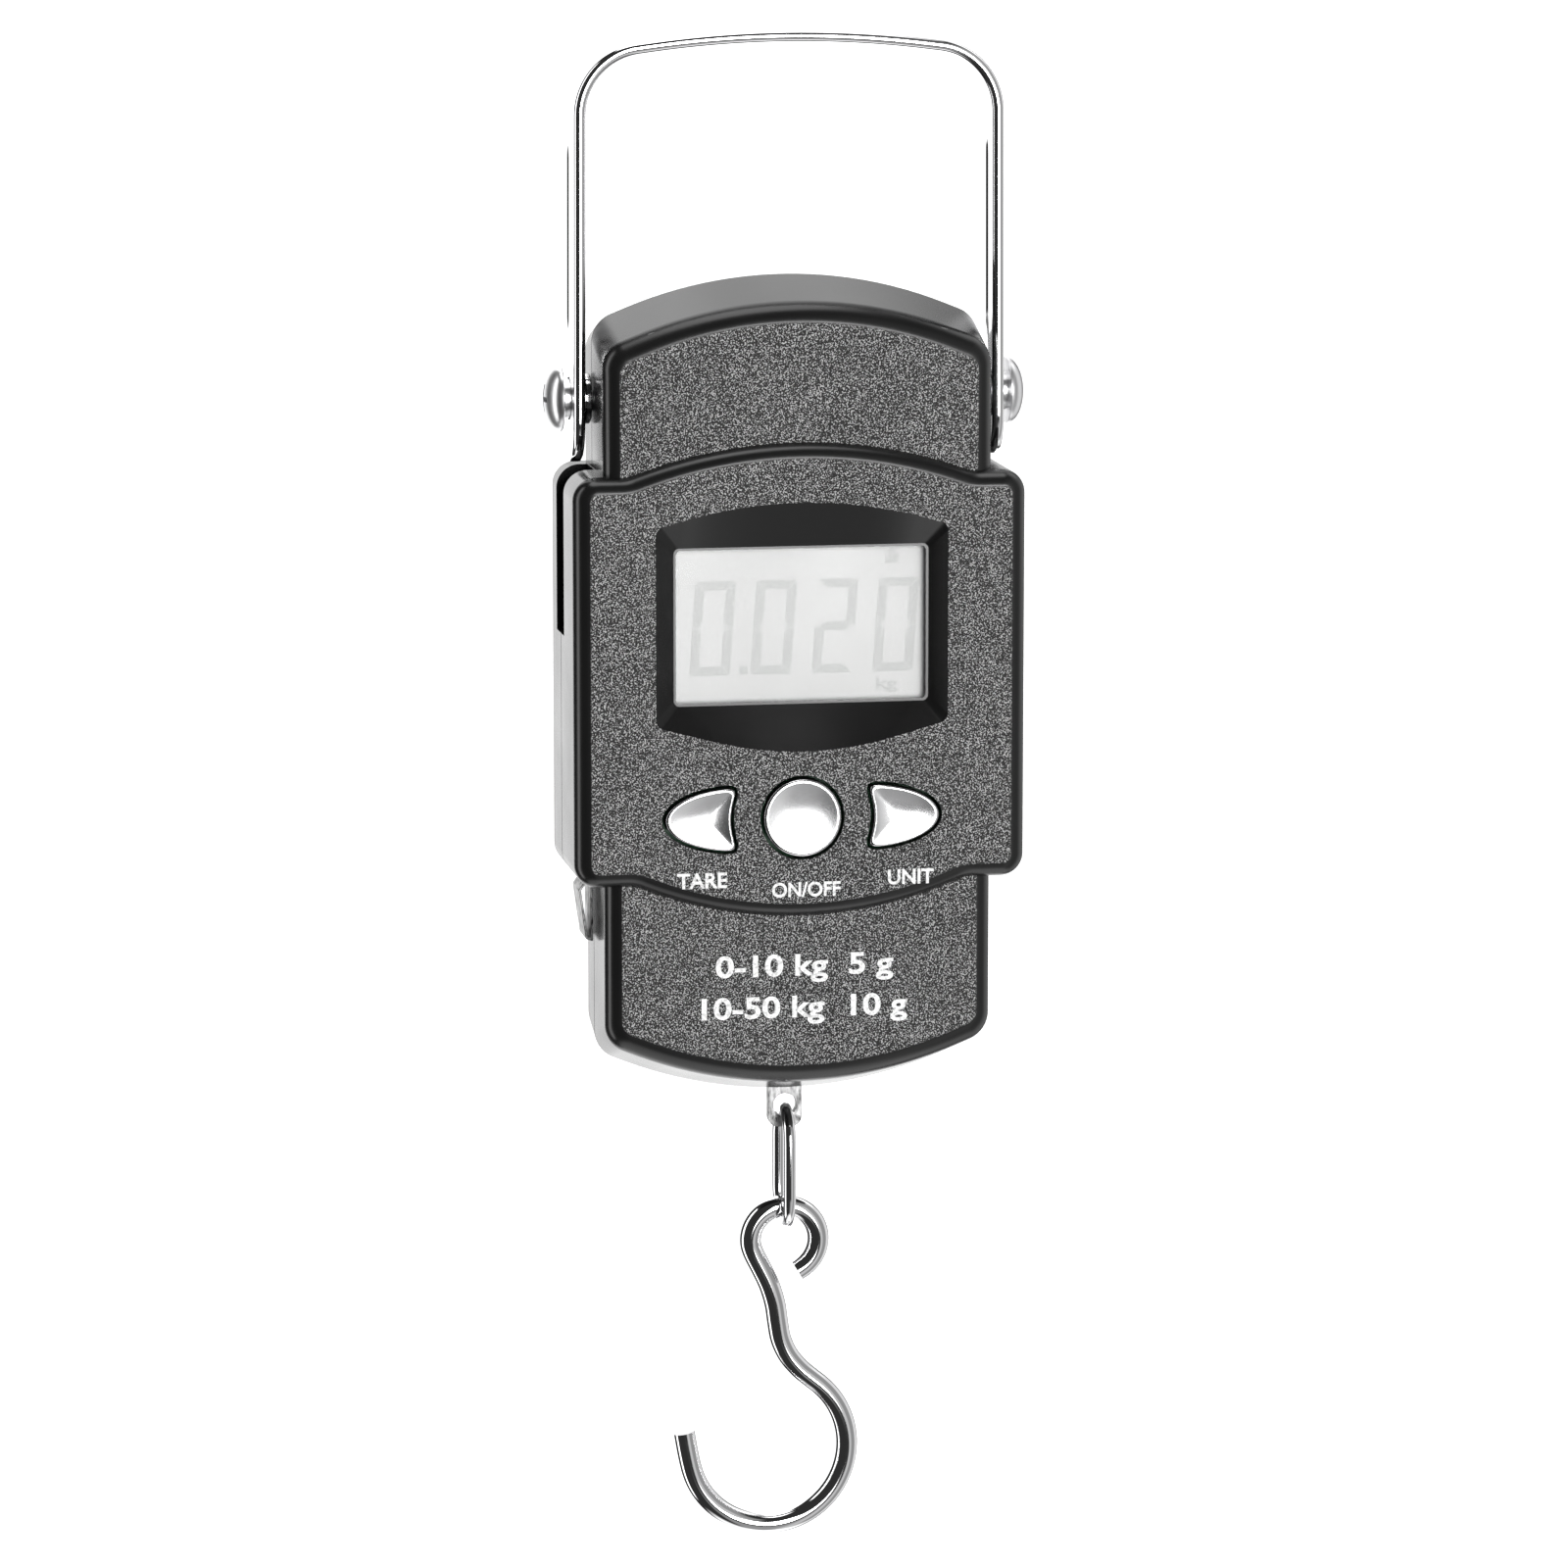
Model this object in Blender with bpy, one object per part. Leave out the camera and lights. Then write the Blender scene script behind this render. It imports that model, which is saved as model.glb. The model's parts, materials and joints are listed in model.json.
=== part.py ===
"""Digital hanging scale: a chromed strap handle, a two-part plastic housing with a
display, three push buttons, a strain-gauge load cell, two AAA cells, a small built-in
tape measure, and a wire hook that hangs on an oval link.

Lengths are in millimetres here and become metres when a mesh is made. +X is to the
right of the display, +Y goes into the housing from its face, +Z is up. The origin is
the middle of the handle's grip, on its lower side. Everything that carries the load
hangs in the plane Y = 0."""

import math

import bmesh
import bpy
from mathutils import Matrix, Vector

MM = 0.001

# Clearance between pieces that touch, and how far a cutter runs past what it cuts.
GAP = 0.3
OVER = 1.0

# Handle: a strap bent into a bail, hung on two shoulder screws.
PIVOT_Z = -54.0
STRAP_WIDTH = 12.0
STRAP_THICK = 1.8
STRAP_HALF_SPAN = 33.3
STRAP_FOOT = 9.6
STRAP_CORNER = 11.0
STRAP_ARCH = 7.4
STRAP_SHOULDER_DROP = 2.9
RIB_WIDTH = 5.0
RIB_TOP = -14.0
RIB_BOTTOM = -45.0
RIB_DEPTH = 0.6

# Housing: a slim body with a wider, prouder band round its middle.
WALL = 2.0
SEAM_Y = -1.0
SEAM_GAP = 0.3
EDGE = 2.9
BODY_HALF = 29.9
BODY_FRONT = -14.4
BODY_REAR = 8.3
BODY_TOP = -35.4
BODY_BOTTOM = -162.1
BODY_SIDE_DROP = 6.9
BODY_ARCH = 22.0
BODY_CORNER = 4.6
BODY_SLOPE = 0.29
BAND_HALF = 34.8
BAND_FRONT = -16.4
BAND_REAR = 10.5
BAND_TOP = -59.6
BAND_BOTTOM = -132.7
BAND_TOP_SHOULDER = (26.6, -64.5, 20.0)
BAND_BOTTOM_SHOULDER = (25.6, -127.35, 22.0)
BAND_CORNER = 3.6
BAND_BLEND = 6.0

# Display: a sloped recess down to the window.
BEZEL = (22.5, -72.3, -68.7, -102.6, -106.8)
BEZEL_ARCH = 15.0
BEZEL_CORNER = 1.5
BEZEL_FLOOR = -13.6
BEZEL_BACK = -12.9
BEZEL_LEDGE = 0.35
WINDOW = (-19.0, 19.6, -99.5, -76.0)

# Keys: a round one between two leaf-shaped ones that curve round it.
KEY_Z = -117.0
KEY_TRAVEL = 0.5
KEY_FACE = -16.9
KEY_GAP = 0.5
POWER_R = 6.0
LEAF_TIP = 21.2
LEAF_HALF = 4.9
LEAF_HOLLOW_R = 11.1
FLANGE = 1.0
FLANGE_FRONT = BAND_FRONT + WALL + GAP
BOARD = (-30.5, 30.5, -124.6, -68.0)
BOARD_FRONT = -7.2
BOARD_THICK = 1.6
CHIP_Z = -92.0
SWITCH_HALF = 3.0
SWITCH_DEPTH = 3.2
PLUNGER_R = 1.5
STEM_R = 2.2

# Load path: cross bar, load cell and the plate that comes out at the bottom.
BAR_HALF = 27.3
BAR_HEIGHT = 8.0
BAR_DEPTH = 6.0
PLATE_THICK = 1.6
CELL_HALF = 7.0
CELL_FRONT = PLATE_THICK / 2 + GAP
CELL_BACK = CELL_FRONT + 6.0
CELL_TOP = -64.5
CELL_BOTTOM = -122.5
CELL_SCREWS = (-68.5, -75.0, -112.0, -118.5)
CELL_SCREW_R = 1.6
CELL_WAIST_HALF = 8.5
TONGUE_HALF = 6.0
GAUGE_HALF = 3.2
HANGER_HALF = 2.65
HANGER_TOP = -108.5
HANGER_NECK = (-124.5, -128.0)
LINK_PIVOT_Z = -167.6
HANGER_EYE_R = 1.85
HANGER_EYE_WALL = 0.8

# Link and hook, bent from round wire.
LINK_WIRE = 0.95
LINK_HALF = 5.25
LINK_TOP = -164.4
LINK_BOTTOM = -184.9
HOOK_WIRE = 1.7
HOOK_EYE_R = 5.45
HOOK_PIVOT_Z = LINK_BOTTOM + LINK_WIRE
HOOK_EYE_Z = LINK_BOTTOM + 2 * LINK_WIRE + GAP + HOOK_WIRE - HOOK_EYE_R

# The hook's neck, bowl and tip, measured from the centre of its eye.
HOOK_NECK = [(-3.9, -4.2), (-2.0, -7.2), (-1.15, -10.2), (-1.1, -13.2), (-1.0, -16.0), (-0.1, -18.7),
             (2.9, -21.6)]
HOOK_BOWL = (-2.6, -33.1)
HOOK_BOWL_R = 12.7
HOOK_TIP = (-15.9, -30.3)

# Pivot screws: dome head, shoulder, and a shank that threads into the cross bar.
HEAD_R = 5.15
HEAD_RIM = 34.5
HEAD_DOME = 2.7
SHOULDER_R = 3.0
SPACER_R = 4.0
SHANK_R = 2.0
SHANK_IN = 19.0

# Case screws, driven from the back.
CASE_SCREWS = ((-21.5, -45.8), (21.5, -45.8), (-21.5, -148.0), (21.5, -148.0))
POST_R = 3.0
POST_REAR_R = 3.8
CASE_HEAD_R = 2.4
CASE_SHANK_R = 1.2
CASE_HEAD_Y = 3.3
CASE_TIP_Y = -9.2

# Battery bay, on the right behind the board.
CELL_X = (15.0, 25.9)
CELL_Y = 2.8
CELL_R = 5.25
CELL_TOP_Z = -74.8
CELL_LENGTH = 43.3
CELL_NUB = 1.0
CELL_NUB_R = 1.9
CONTACT_THICK = 0.4
CONTACT_HALF = 4.0
CONTACT_BACK = 3.2
SPRING_WIRE = 0.3
SPRING_TURNS = 2.5
TRAY = (8.6, 32.2, -122.6, -70.4)
TRAY_FRONT = -3.4
TRAY_BACK = 6.4
TRAY_WALL = 0.8
COVER = (9.9, 30.9, -121.0, -73.0)
COVER_HINGE = (10.6, -121.0)
COVER_TAB_HALF = 2.0
GRIP_LINES = 4
GRIP_PITCH = 1.6

# Tape measure, on the left behind the board.
TAPE_X = -20.5
TAPE_Z = -78.6
TAPE_CASE_HALF = 12.0
TAPE_CASE_FRONT = -4.3
TAPE_CASE_BACK = 4.6
TAPE_DRUM_R = 10.0
TAPE_HUB_R = 5.7
TAPE_PIN_R = 1.5
TAPE_CASE_WALL = 0.9
TAPE_HALF = 3.0
TAPE_BLADE_X = -31.05
TAPE_BLADE_THICK = 0.3
TAPE_EXIT_Z = -127.35
TAB_HALF = 3.3
TAB_THICK = 0.38
SIDE_WINDOW = (-4.4, 3.3, -89.9)


# ---------------------------------------------------------------- outlines

def rounded(corners):
    """Anticlockwise outline of (a, b, radius) corners, each turned into an arc."""
    outline = []
    for index, (a, b, radius) in enumerate(corners):
        here = Vector((a, b))
        before = Vector(corners[index - 1][:2])
        after = Vector(corners[(index + 1) % len(corners)][:2])
        if radius == 0:
            outline.append((a, b))
            continue
        arriving = (here - before).normalized()
        leaving = (after - here).normalized()
        turn = arriving.angle_signed(leaving) * -1
        reach = radius * math.tan(abs(turn) / 2)
        start = here - arriving * reach
        side = math.copysign(1, turn)
        centre = start + Vector((-arriving.y, arriving.x)) * radius * side
        steps = 12 if radius > 20 else 4
        for step in range(steps + 1):
            spoke = start - centre
            spoke.rotate(Matrix.Rotation(turn * step / steps, 2))
            outline.append(tuple(centre + spoke))
    return outline


def offset(outline, distance):
    """The outline with every side moved inwards by distance, corner for corner."""
    moved = []
    for index, point in enumerate(outline):
        here = Vector(point)
        into = (here - Vector(outline[index - 1])).normalized()
        out = (Vector(outline[(index + 1) % len(outline)]) - here).normalized()
        normal_in = Vector((-into.y, into.x))
        normal_out = Vector((-out.y, out.x))
        bisector = (normal_in + normal_out).normalized()
        moved.append(tuple(here + bisector * distance / max(0.3, bisector.dot(normal_in))))
    return moved


def rectangle(left, right, low, high, radius=0.0):
    return rounded([(left, low, radius), (right, low, radius), (right, high, radius), (left, high, radius)])


def circle(a, b, radius, count=24):
    turns = (2 * math.pi * step / count for step in range(count))
    return [(a + radius * math.cos(turn), b + radius * math.sin(turn)) for turn in turns]


def arch_peak(shoulder_x, shoulder_z, slope, crown):
    """Corner (0, z, radius) whose arc crowns at crown and leaves the shoulder at slope."""
    angle = math.radians(slope)
    side = math.copysign(1, crown - shoulder_z)
    peak = shoulder_z + side * shoulder_x * math.tan(angle)
    return (0, peak, abs(peak - crown) / (1 / math.cos(angle) - 1))


def body_outline(y, inset):
    """The slim body's outline at depth y; its top and bottom slope away from the seam."""
    fall = BODY_SLOPE * abs(y - SEAM_Y)
    top = BODY_TOP - fall
    low = BODY_BOTTOM + fall
    top_side = top - BODY_SIDE_DROP
    low_side = low + BODY_SIDE_DROP
    corners = [
        (BODY_HALF, low_side, BODY_CORNER),
        (BODY_HALF, top_side, BODY_CORNER),
        arch_peak(BODY_HALF, top_side, BODY_ARCH, top),
        (-BODY_HALF, top_side, BODY_CORNER),
        (-BODY_HALF, low_side, BODY_CORNER),
        arch_peak(BODY_HALF, low_side, BODY_ARCH, low),
    ]
    return offset(rounded(corners), inset)


def band_outline(y, inset):
    """The band's outline: flat shoulders that blend into an arch, above and below."""
    top_x, top_z, top_slope = BAND_TOP_SHOULDER
    low_x, low_z, low_slope = BAND_BOTTOM_SHOULDER
    corners = [
        (BAND_HALF, low_z, BAND_CORNER),
        (BAND_HALF, top_z, BAND_CORNER),
        (top_x, top_z, BAND_BLEND),
        arch_peak(top_x, top_z, top_slope, BAND_TOP),
        (-top_x, top_z, BAND_BLEND),
        (-BAND_HALF, top_z, BAND_CORNER),
        (-BAND_HALF, low_z, BAND_CORNER),
        (-low_x, low_z, BAND_BLEND),
        arch_peak(low_x, low_z, low_slope, BAND_BOTTOM),
        (low_x, low_z, BAND_BLEND),
    ]
    return offset(rounded(corners), inset)


def leaf_outline(side, inset):
    """A leaf key: half an ellipse outwards, hollowed round the middle key inwards."""
    points = []
    corner = math.asin(LEAF_HALF / LEAF_HOLLOW_R)
    root = LEAF_HOLLOW_R * math.cos(corner)
    for step in range(13):
        turn = math.pi * (step / 12 - 0.5)
        points.append((root + (LEAF_TIP - root) * math.cos(turn), LEAF_HALF * math.sin(turn)))
    for step in range(1, 6):
        turn = corner * (1 - step / 3)
        points.append((LEAF_HOLLOW_R * math.cos(turn), LEAF_HOLLOW_R * math.sin(turn)))
    if side < 0:
        points = [(-a, b) for a, b in reversed(points)]
    return offset([(a, b + KEY_Z) for a, b in points], inset)


# ---------------------------------------------------------------- solids

def place(a, b, along, axis):
    """The 3-D point of outline point (a, b) at a distance along the axis."""
    if axis == "X":
        return (along, a, b)
    if axis == "Y":
        return (a, along, b)
    return (a, b, along)


def loft(rings):
    """A closed solid through rings of equal length, with flat ends."""
    shape = bmesh.new()
    loops = [[shape.verts.new(Vector(point) * MM) for point in ring] for ring in rings]
    for low, high in zip(loops, loops[1:]):
        for index in range(len(low)):
            around = (index + 1) % len(low)
            shape.faces.new((low[index], low[around], high[around], high[index]))
    shape.faces.new(loops[0])
    shape.faces.new(list(reversed(loops[-1])))
    bmesh.ops.recalc_face_normals(shape, faces=shape.faces)
    return shape


def prism(outline, low, high, axis="Y"):
    return loft([[place(a, b, along, axis) for a, b in outline] for along in (low, high)])


def turned(profile, a, b, axis="Y", count=24):
    """A solid of revolution through (radius, along) stations, about (a, b)."""
    return loft([[place(*point, along, axis) for point in circle(a, b, radius, count)]
                 for radius, along in profile])


def block(low, high):
    return prism(rectangle(low[0], high[0], low[2], high[2]), low[1], high[1])


def joined(shapes):
    """Several separate solids as one mesh, for one Boolean."""
    whole = bmesh.new()
    for shape in shapes:
        mesh = bpy.data.meshes.new("part")
        shape.to_mesh(mesh)
        shape.free()
        whole.from_mesh(mesh)
        bpy.data.meshes.remove(mesh)
    return whole


def rolled_edge(outline_at, wall_start, face, inset=0.0, edge=0.0):
    """Rings from the seam to a face, with a quarter-round edge of the given radius."""
    inwards = math.copysign(1, wall_start - face)
    rings = []
    for step in range(5 if edge else 1):
        turn = math.radians(90) * step / 4
        y = face + inwards * edge * (1 - math.sin(turn))
        rings.append([place(a, b, y, "Y") for a, b in outline_at(y, inset + edge * (1 - math.cos(turn)))])
    start = [place(a, b, wall_start, "Y") for a, b in outline_at(wall_start, inset)]
    return loft([start] + rings)


def material(name, colour, roughness, metallic=0.0):
    made = bpy.data.materials.new(name)
    made.use_nodes = True
    shader = made.node_tree.nodes["Principled BSDF"]
    shader.inputs["Base Color"].default_value = (*colour, 1)
    shader.inputs["Roughness"].default_value = roughness
    shader.inputs["Metallic"].default_value = metallic
    return made


def solid(name, shape, look, parent=None, smooth=35):
    """An object from a bmesh, hung on the empty that marks its joint, if it moves."""
    mesh = bpy.data.meshes.new(name)
    shape.to_mesh(mesh)
    shape.free()
    mesh.materials.append(look)
    mesh.shade_smooth()
    mesh.set_sharp_from_angle(angle=math.radians(smooth))
    made = bpy.data.objects.new(name, mesh)
    bpy.context.scene.collection.objects.link(made)
    ride(made, parent)
    return made


def ride(piece, parent):
    if parent:
        piece.parent = parent
        piece.matrix_parent_inverse = Matrix.Translation(-parent.location)


def wire(name, points, radius, look, parent=None, closed=False, sides=3):
    """A bent round wire along the points."""
    curve = bpy.data.curves.new(name, "CURVE")
    curve.dimensions = "3D"
    curve.bevel_depth = radius * MM
    curve.bevel_resolution = sides
    curve.use_fill_caps = True
    spline = curve.splines.new("POLY")
    spline.points.add(len(points) - 1)
    for knot, point in zip(spline.points, points):
        knot.co = (*(Vector(point) * MM), 1)
    spline.use_cyclic_u = closed
    curve.materials.append(look)
    made = bpy.data.objects.new(name, curve)
    bpy.context.scene.collection.objects.link(made)
    ride(made, parent)
    return made


def combine(target, shape, operation="DIFFERENCE"):
    """Cuts the shape from the target, or adds it, with an exact Boolean."""
    name = f"tool_{len(target.modifiers) + 1}_{target.name}"
    tool = solid(name, shape, target.data.materials[0])
    tool.hide_render = True
    tool.display_type = "WIRE"
    step = target.modifiers.new(name, "BOOLEAN")
    step.operation = operation
    step.object = tool
    step.solver = "EXACT"


def joint_empty(name, x, y, z):
    marker = bpy.data.objects.new(name, None)
    marker.location = Vector((x, y, z)) * MM
    bpy.context.scene.collection.objects.link(marker)
    return marker


# ---------------------------------------------------------------- handle

def strap_outline():
    """The bent strap seen from the front: its outer line, then back along its inner one."""
    half = STRAP_HALF_SPAN
    foot = PIVOT_Z - STRAP_FOOT
    shoulder = STRAP_THICK - STRAP_SHOULDER_DROP
    outer = rounded([
        (half, foot, 0),
        (half - 0.3, shoulder, STRAP_CORNER),
        arch_peak(half - 0.3, shoulder, STRAP_ARCH, STRAP_THICK),
        (-half + 0.3, shoulder, STRAP_CORNER),
        (-half, foot, 0),
    ])
    line = offset(outer, STRAP_THICK)
    inner = [(half - STRAP_THICK, foot)] + line[1:-1] + [(-half + STRAP_THICK, foot)]
    return outer + list(reversed(inner))


def make_handle(looks):
    half_width = STRAP_WIDTH / 2
    strap = solid("handle_strap", prism(strap_outline(), -half_width, half_width), looks["chrome"])
    # The feet are round, so that they clear the band's shoulders as the strap swings.
    centre = PIVOT_Z - STRAP_FOOT + half_width
    foot = rounded([
        (-half_width, centre - half_width, half_width - 0.01),
        (half_width, centre - half_width, half_width - 0.01),
        (half_width, centre, 0),
        (half_width + OVER, centre, 0),
        (half_width + OVER, centre - half_width - OVER, 0),
        (-half_width - OVER, centre - half_width - OVER, 0),
        (-half_width - OVER, centre, 0),
        (-half_width, centre, 0),
    ])
    reach = STRAP_HALF_SPAN + OVER
    hole_r = SHOULDER_R + GAP
    cuts = [prism(foot, -reach, reach, "X"),
            turned([(hole_r, -reach), (hole_r, reach)], 0, PIVOT_Z, "X")]
    combine(strap, joined(cuts))
    rib = RIB_WIDTH / 2
    slot = rectangle(-rib, rib, RIB_BOTTOM, RIB_TOP, rib - 0.2)
    inside = STRAP_HALF_SPAN - STRAP_THICK
    outside = STRAP_HALF_SPAN - RIB_DEPTH
    combine(strap, joined([prism(slot, outside, reach, "X"), prism(slot, -reach, -outside, "X")]))
    raised = offset(slot, 0.5)
    combine(strap, joined([prism(raised, inside - 0.4, inside + 0.5, "X"),
                           prism(raised, -inside - 0.5, -inside + 0.4, "X")]), "UNION")
    return strap


# ---------------------------------------------------------------- housing shells

def shell(name, look, face, band_face, seam, hinge):
    """Half of the housing: outer body and band, less the same shapes a wall smaller."""
    past_seam = seam + math.copysign(OVER, seam - face)
    inwards = math.copysign(WALL, seam - face)
    half = solid(name, rolled_edge(body_outline, seam, face, edge=EDGE), look, hinge, smooth=24)
    combine(half, rolled_edge(band_outline, seam, band_face, edge=EDGE), "UNION")
    combine(half, rolled_edge(body_outline, past_seam, face + inwards, inset=WALL))
    combine(half, rolled_edge(band_outline, past_seam, band_face + inwards, inset=WALL))
    return half


def seam_openings():
    """What passes through the side walls and the bottom, cut from both shells alike."""
    y_low, y_high, z_low = SIDE_WINDOW
    shank = SHANK_R + GAP
    side = BAND_HALF + OVER
    tape_left = TAPE_BLADE_X - 0.9
    tape_right = TAPE_BLADE_X + 0.85
    return [
        turned([(shank, -side), (shank, side)], 0, PIVOT_Z, "X", 16),
        block((-side, y_low, z_low), (-BODY_HALF - 0.1, y_high, BAND_TOP)),
        block((tape_left, -TAPE_HALF - 0.6, TAPE_EXIT_Z - OVER),
              (tape_right, TAPE_HALF + 0.6, TAPE_EXIT_Z + WALL + OVER)),
        block((-HANGER_HALF - 0.5, -PLATE_THICK / 2 - 0.5, BODY_BOTTOM - OVER),
              (HANGER_HALF + 0.5, PLATE_THICK / 2 + 0.5, BODY_BOTTOM + WALL + OVER)),
    ]


def bezel_cut():
    """The display's recess: arched outside, and straight round the window."""
    half, top, crown, low, keel = BEZEL
    left, right, window_low, window_high = WINDOW
    round_off = BEZEL_CORNER
    rim = rounded([(half, low, round_off), (half, top, round_off), arch_peak(half, top, BEZEL_ARCH, crown),
                   (-half, top, round_off), (-half, low, round_off), arch_peak(half, low, BEZEL_ARCH, keel)])
    ledge = BEZEL_LEDGE
    corners = rectangle(left - ledge, right + ledge, window_low - ledge, window_high + ledge, 0.9)
    right_side, left_side = corners[5:15], corners[15:] + corners[:5]
    span = [0.8 * half * (1 - step / 6) for step in range(13)]
    floor = (right_side + [(a, window_high + ledge) for a in span]
             + left_side + [(-a, window_low - ledge) for a in span])
    rim = [place(a, b, BAND_FRONT, "Y") for a, b in rim]
    floor = [place(a, b, BEZEL_FLOOR, "Y") for a, b in floor]
    lead = (BAND_FRONT - OVER - BEZEL_FLOOR) / (BAND_FRONT - BEZEL_FLOOR)
    before = [tuple(Vector(near).lerp(Vector(far), lead)) for far, near in zip(rim, floor)]
    return loft([before, floor])


def make_front_shell(looks, hinge):
    front = shell("front_shell", looks["shell"], BODY_FRONT, BAND_FRONT, SEAM_Y - SEAM_GAP / 2, hinge)
    half, top, _, low, _ = BEZEL
    posts = [turned([(POST_R, BODY_FRONT + WALL - GAP), (POST_R, SEAM_Y - GAP)], x, z, count=20)
             for x, z in CASE_SCREWS]
    backing = prism(rectangle(-half, half, low - 1.5, top + 1.5), BAND_FRONT + WALL / 2, BEZEL_BACK)
    combine(front, joined(posts + [backing]), "UNION")
    combine(front, bezel_cut())
    hole_r = CASE_SHANK_R + GAP
    left, right, window_low, window_high = WINDOW
    cuts = [turned([(hole_r, CASE_TIP_Y - 0.4), (hole_r, SEAM_Y)], x, z, count=12) for x, z in CASE_SCREWS]
    cuts.append(prism(rectangle(left, right, window_low, window_high, 0.8),
                      BEZEL_FLOOR - OVER, BEZEL_BACK + OVER))
    key = POWER_R + KEY_GAP
    cuts.append(turned([(key, BAND_FRONT - OVER), (key, BAND_FRONT + WALL + OVER)], 0, KEY_Z))
    for side in (-1, 1):
        cuts.append(prism(leaf_outline(side, -KEY_GAP), BAND_FRONT - OVER, BAND_FRONT + WALL + OVER))
    combine(front, joined(cuts + seam_openings()))
    return front


def make_rear_shell(looks, hinge):
    rear = shell("rear_shell", looks["shell"], BODY_REAR, BAND_REAR, SEAM_Y + SEAM_GAP / 2, hinge)
    posts = [turned([(POST_REAR_R, SEAM_Y + GAP), (POST_REAR_R, BODY_REAR - WALL / 2)], x, z, count=20)
             for x, z in CASE_SCREWS]
    combine(rear, joined(posts), "UNION")
    hole_r = CASE_SHANK_R + GAP
    bore_r = CASE_HEAD_R + GAP
    bore_y = CASE_HEAD_Y - GAP
    cuts = [turned([(hole_r, SEAM_Y), (hole_r, bore_y), (bore_r, bore_y + 0.01), (bore_r, BODY_REAR + OVER)],
                   x, z, count=20) for x, z in CASE_SCREWS]
    left, right, low, high = COVER
    cuts.append(prism(rectangle(left - GAP, right + GAP, low - GAP, high + GAP, 1.2),
                      BAND_REAR - WALL - OVER, BAND_REAR + OVER))
    combine(rear, joined(cuts + seam_openings()))
    return rear


def make_battery_cover(looks, hinge):
    """The door over the cells: it tips out round its lower edge, held by two tabs."""
    left, right, low, high = COVER
    inner = BAND_REAR - WALL
    door = solid("battery_cover", prism(rectangle(left, right, low, high, 1.0), inner, BAND_REAR - 0.1),
                 looks["cover"], hinge)
    back = inner - 1.4
    for x in CELL_X:
        side = COVER_TAB_HALF
        combine(door, block((x - side, back, low - 1.6), (x + side, inner - GAP, low + 1.5)), "UNION")
        combine(door, block((x - side, back, low + 0.2), (x + side, inner + 0.5, low + 1.5)), "UNION")
    grip = []
    for row in range(GRIP_LINES):
        line_top = high - 7.2 - GRIP_PITCH * row
        grip.append(block((left + 6.0, BAND_REAR - 0.7, line_top - GRIP_PITCH / 2),
                          (left + 15.0, BAND_REAR + OVER, line_top)))
    combine(door, joined(grip))
    return door


# ---------------------------------------------------------------- display and board

def make_display(looks, hinge):
    left, right, low, high = WINDOW
    lens_front = BEZEL_BACK + GAP
    solid("display_lens", prism(rectangle(left - 1.6, right + 1.6, low - 1.6, high + 1.6, 0.8),
                                lens_front, lens_front + 0.9), looks["lens"], hinge)
    panel_front = lens_front + 0.9 + GAP
    solid("lcd_panel", prism(rectangle(left - 1.0, right + 1.0, low - 2.2, high + 1.0, 0.3),
                             panel_front, panel_front + 1.5), looks["lcd"], hinge)
    light_front = panel_front + 1.5 + GAP
    solid("lcd_backlight", prism(rectangle(left - 1.0, right + 1.0, low + 0.6, high + 1.0, 0.3),
                                 light_front, BOARD_FRONT - GAP), looks["diffuser"], hinge)
    solid("zebra_strip", block((left, light_front, low - 2.0), (right, BOARD_FRONT - GAP, low - 0.1)),
          looks["rubber"], hinge)
    frame = solid("lcd_frame", prism(rectangle(left - 3.4, right + 3.4, low - 4.4, high + 3.4, 1.0),
                                     panel_front, BOARD_FRONT - GAP), looks["frame"], hinge)
    combine(frame, prism(rectangle(left - 1.4, right + 1.4, low - 2.6, high + 1.4, 0.3),
                         panel_front - OVER, BOARD_FRONT + OVER))


def make_board(looks, hinge):
    back = BOARD_FRONT + BOARD_THICK
    solid("circuit_board", prism(rectangle(*BOARD, 1.5), BOARD_FRONT, back), looks["board"], hinge)
    blob = [(5.2, back + GAP), (5.0, back + 0.7), (3.6, back + 1.2), (1.2, back + 1.5)]
    solid("controller_chip", turned(blob, 0, CHIP_Z), looks["epoxy"], hinge)


# ---------------------------------------------------------------- keys

def make_key(name, shapes, x, looks, hinges, switch_hinge):
    """One key: a chromed cap with a flange behind the wall and a stem to its switch."""
    cap_rings, flange = shapes
    key = solid(f"{name}_button", loft(cap_rings), looks["key"], hinges)
    combine(key, prism(flange, FLANGE_FRONT, FLANGE_FRONT + FLANGE), "UNION")
    tip = BOARD_FRONT - GAP - SWITCH_DEPTH - 1.6
    combine(key, turned([(STEM_R, FLANGE_FRONT + 0.5), (STEM_R, tip)], x, KEY_Z, count=16), "UNION")
    body_front = BOARD_FRONT - GAP - SWITCH_DEPTH
    half = SWITCH_HALF
    case = block((x - half, body_front, KEY_Z - half), (x + half, BOARD_FRONT - GAP, KEY_Z + half))
    switch = solid(f"{name}_switch", case, looks["switch"], switch_hinge)
    well = PLUNGER_R + 0.4
    combine(switch, turned([(well, body_front - OVER), (well, body_front + 1.6)], x, KEY_Z, count=16))
    plunger = turned([(PLUNGER_R, tip + GAP), (PLUNGER_R, body_front + 0.7)], x, KEY_Z, count=16)
    solid(f"{name}_plunger", plunger, looks["frame"], hinges)


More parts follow.
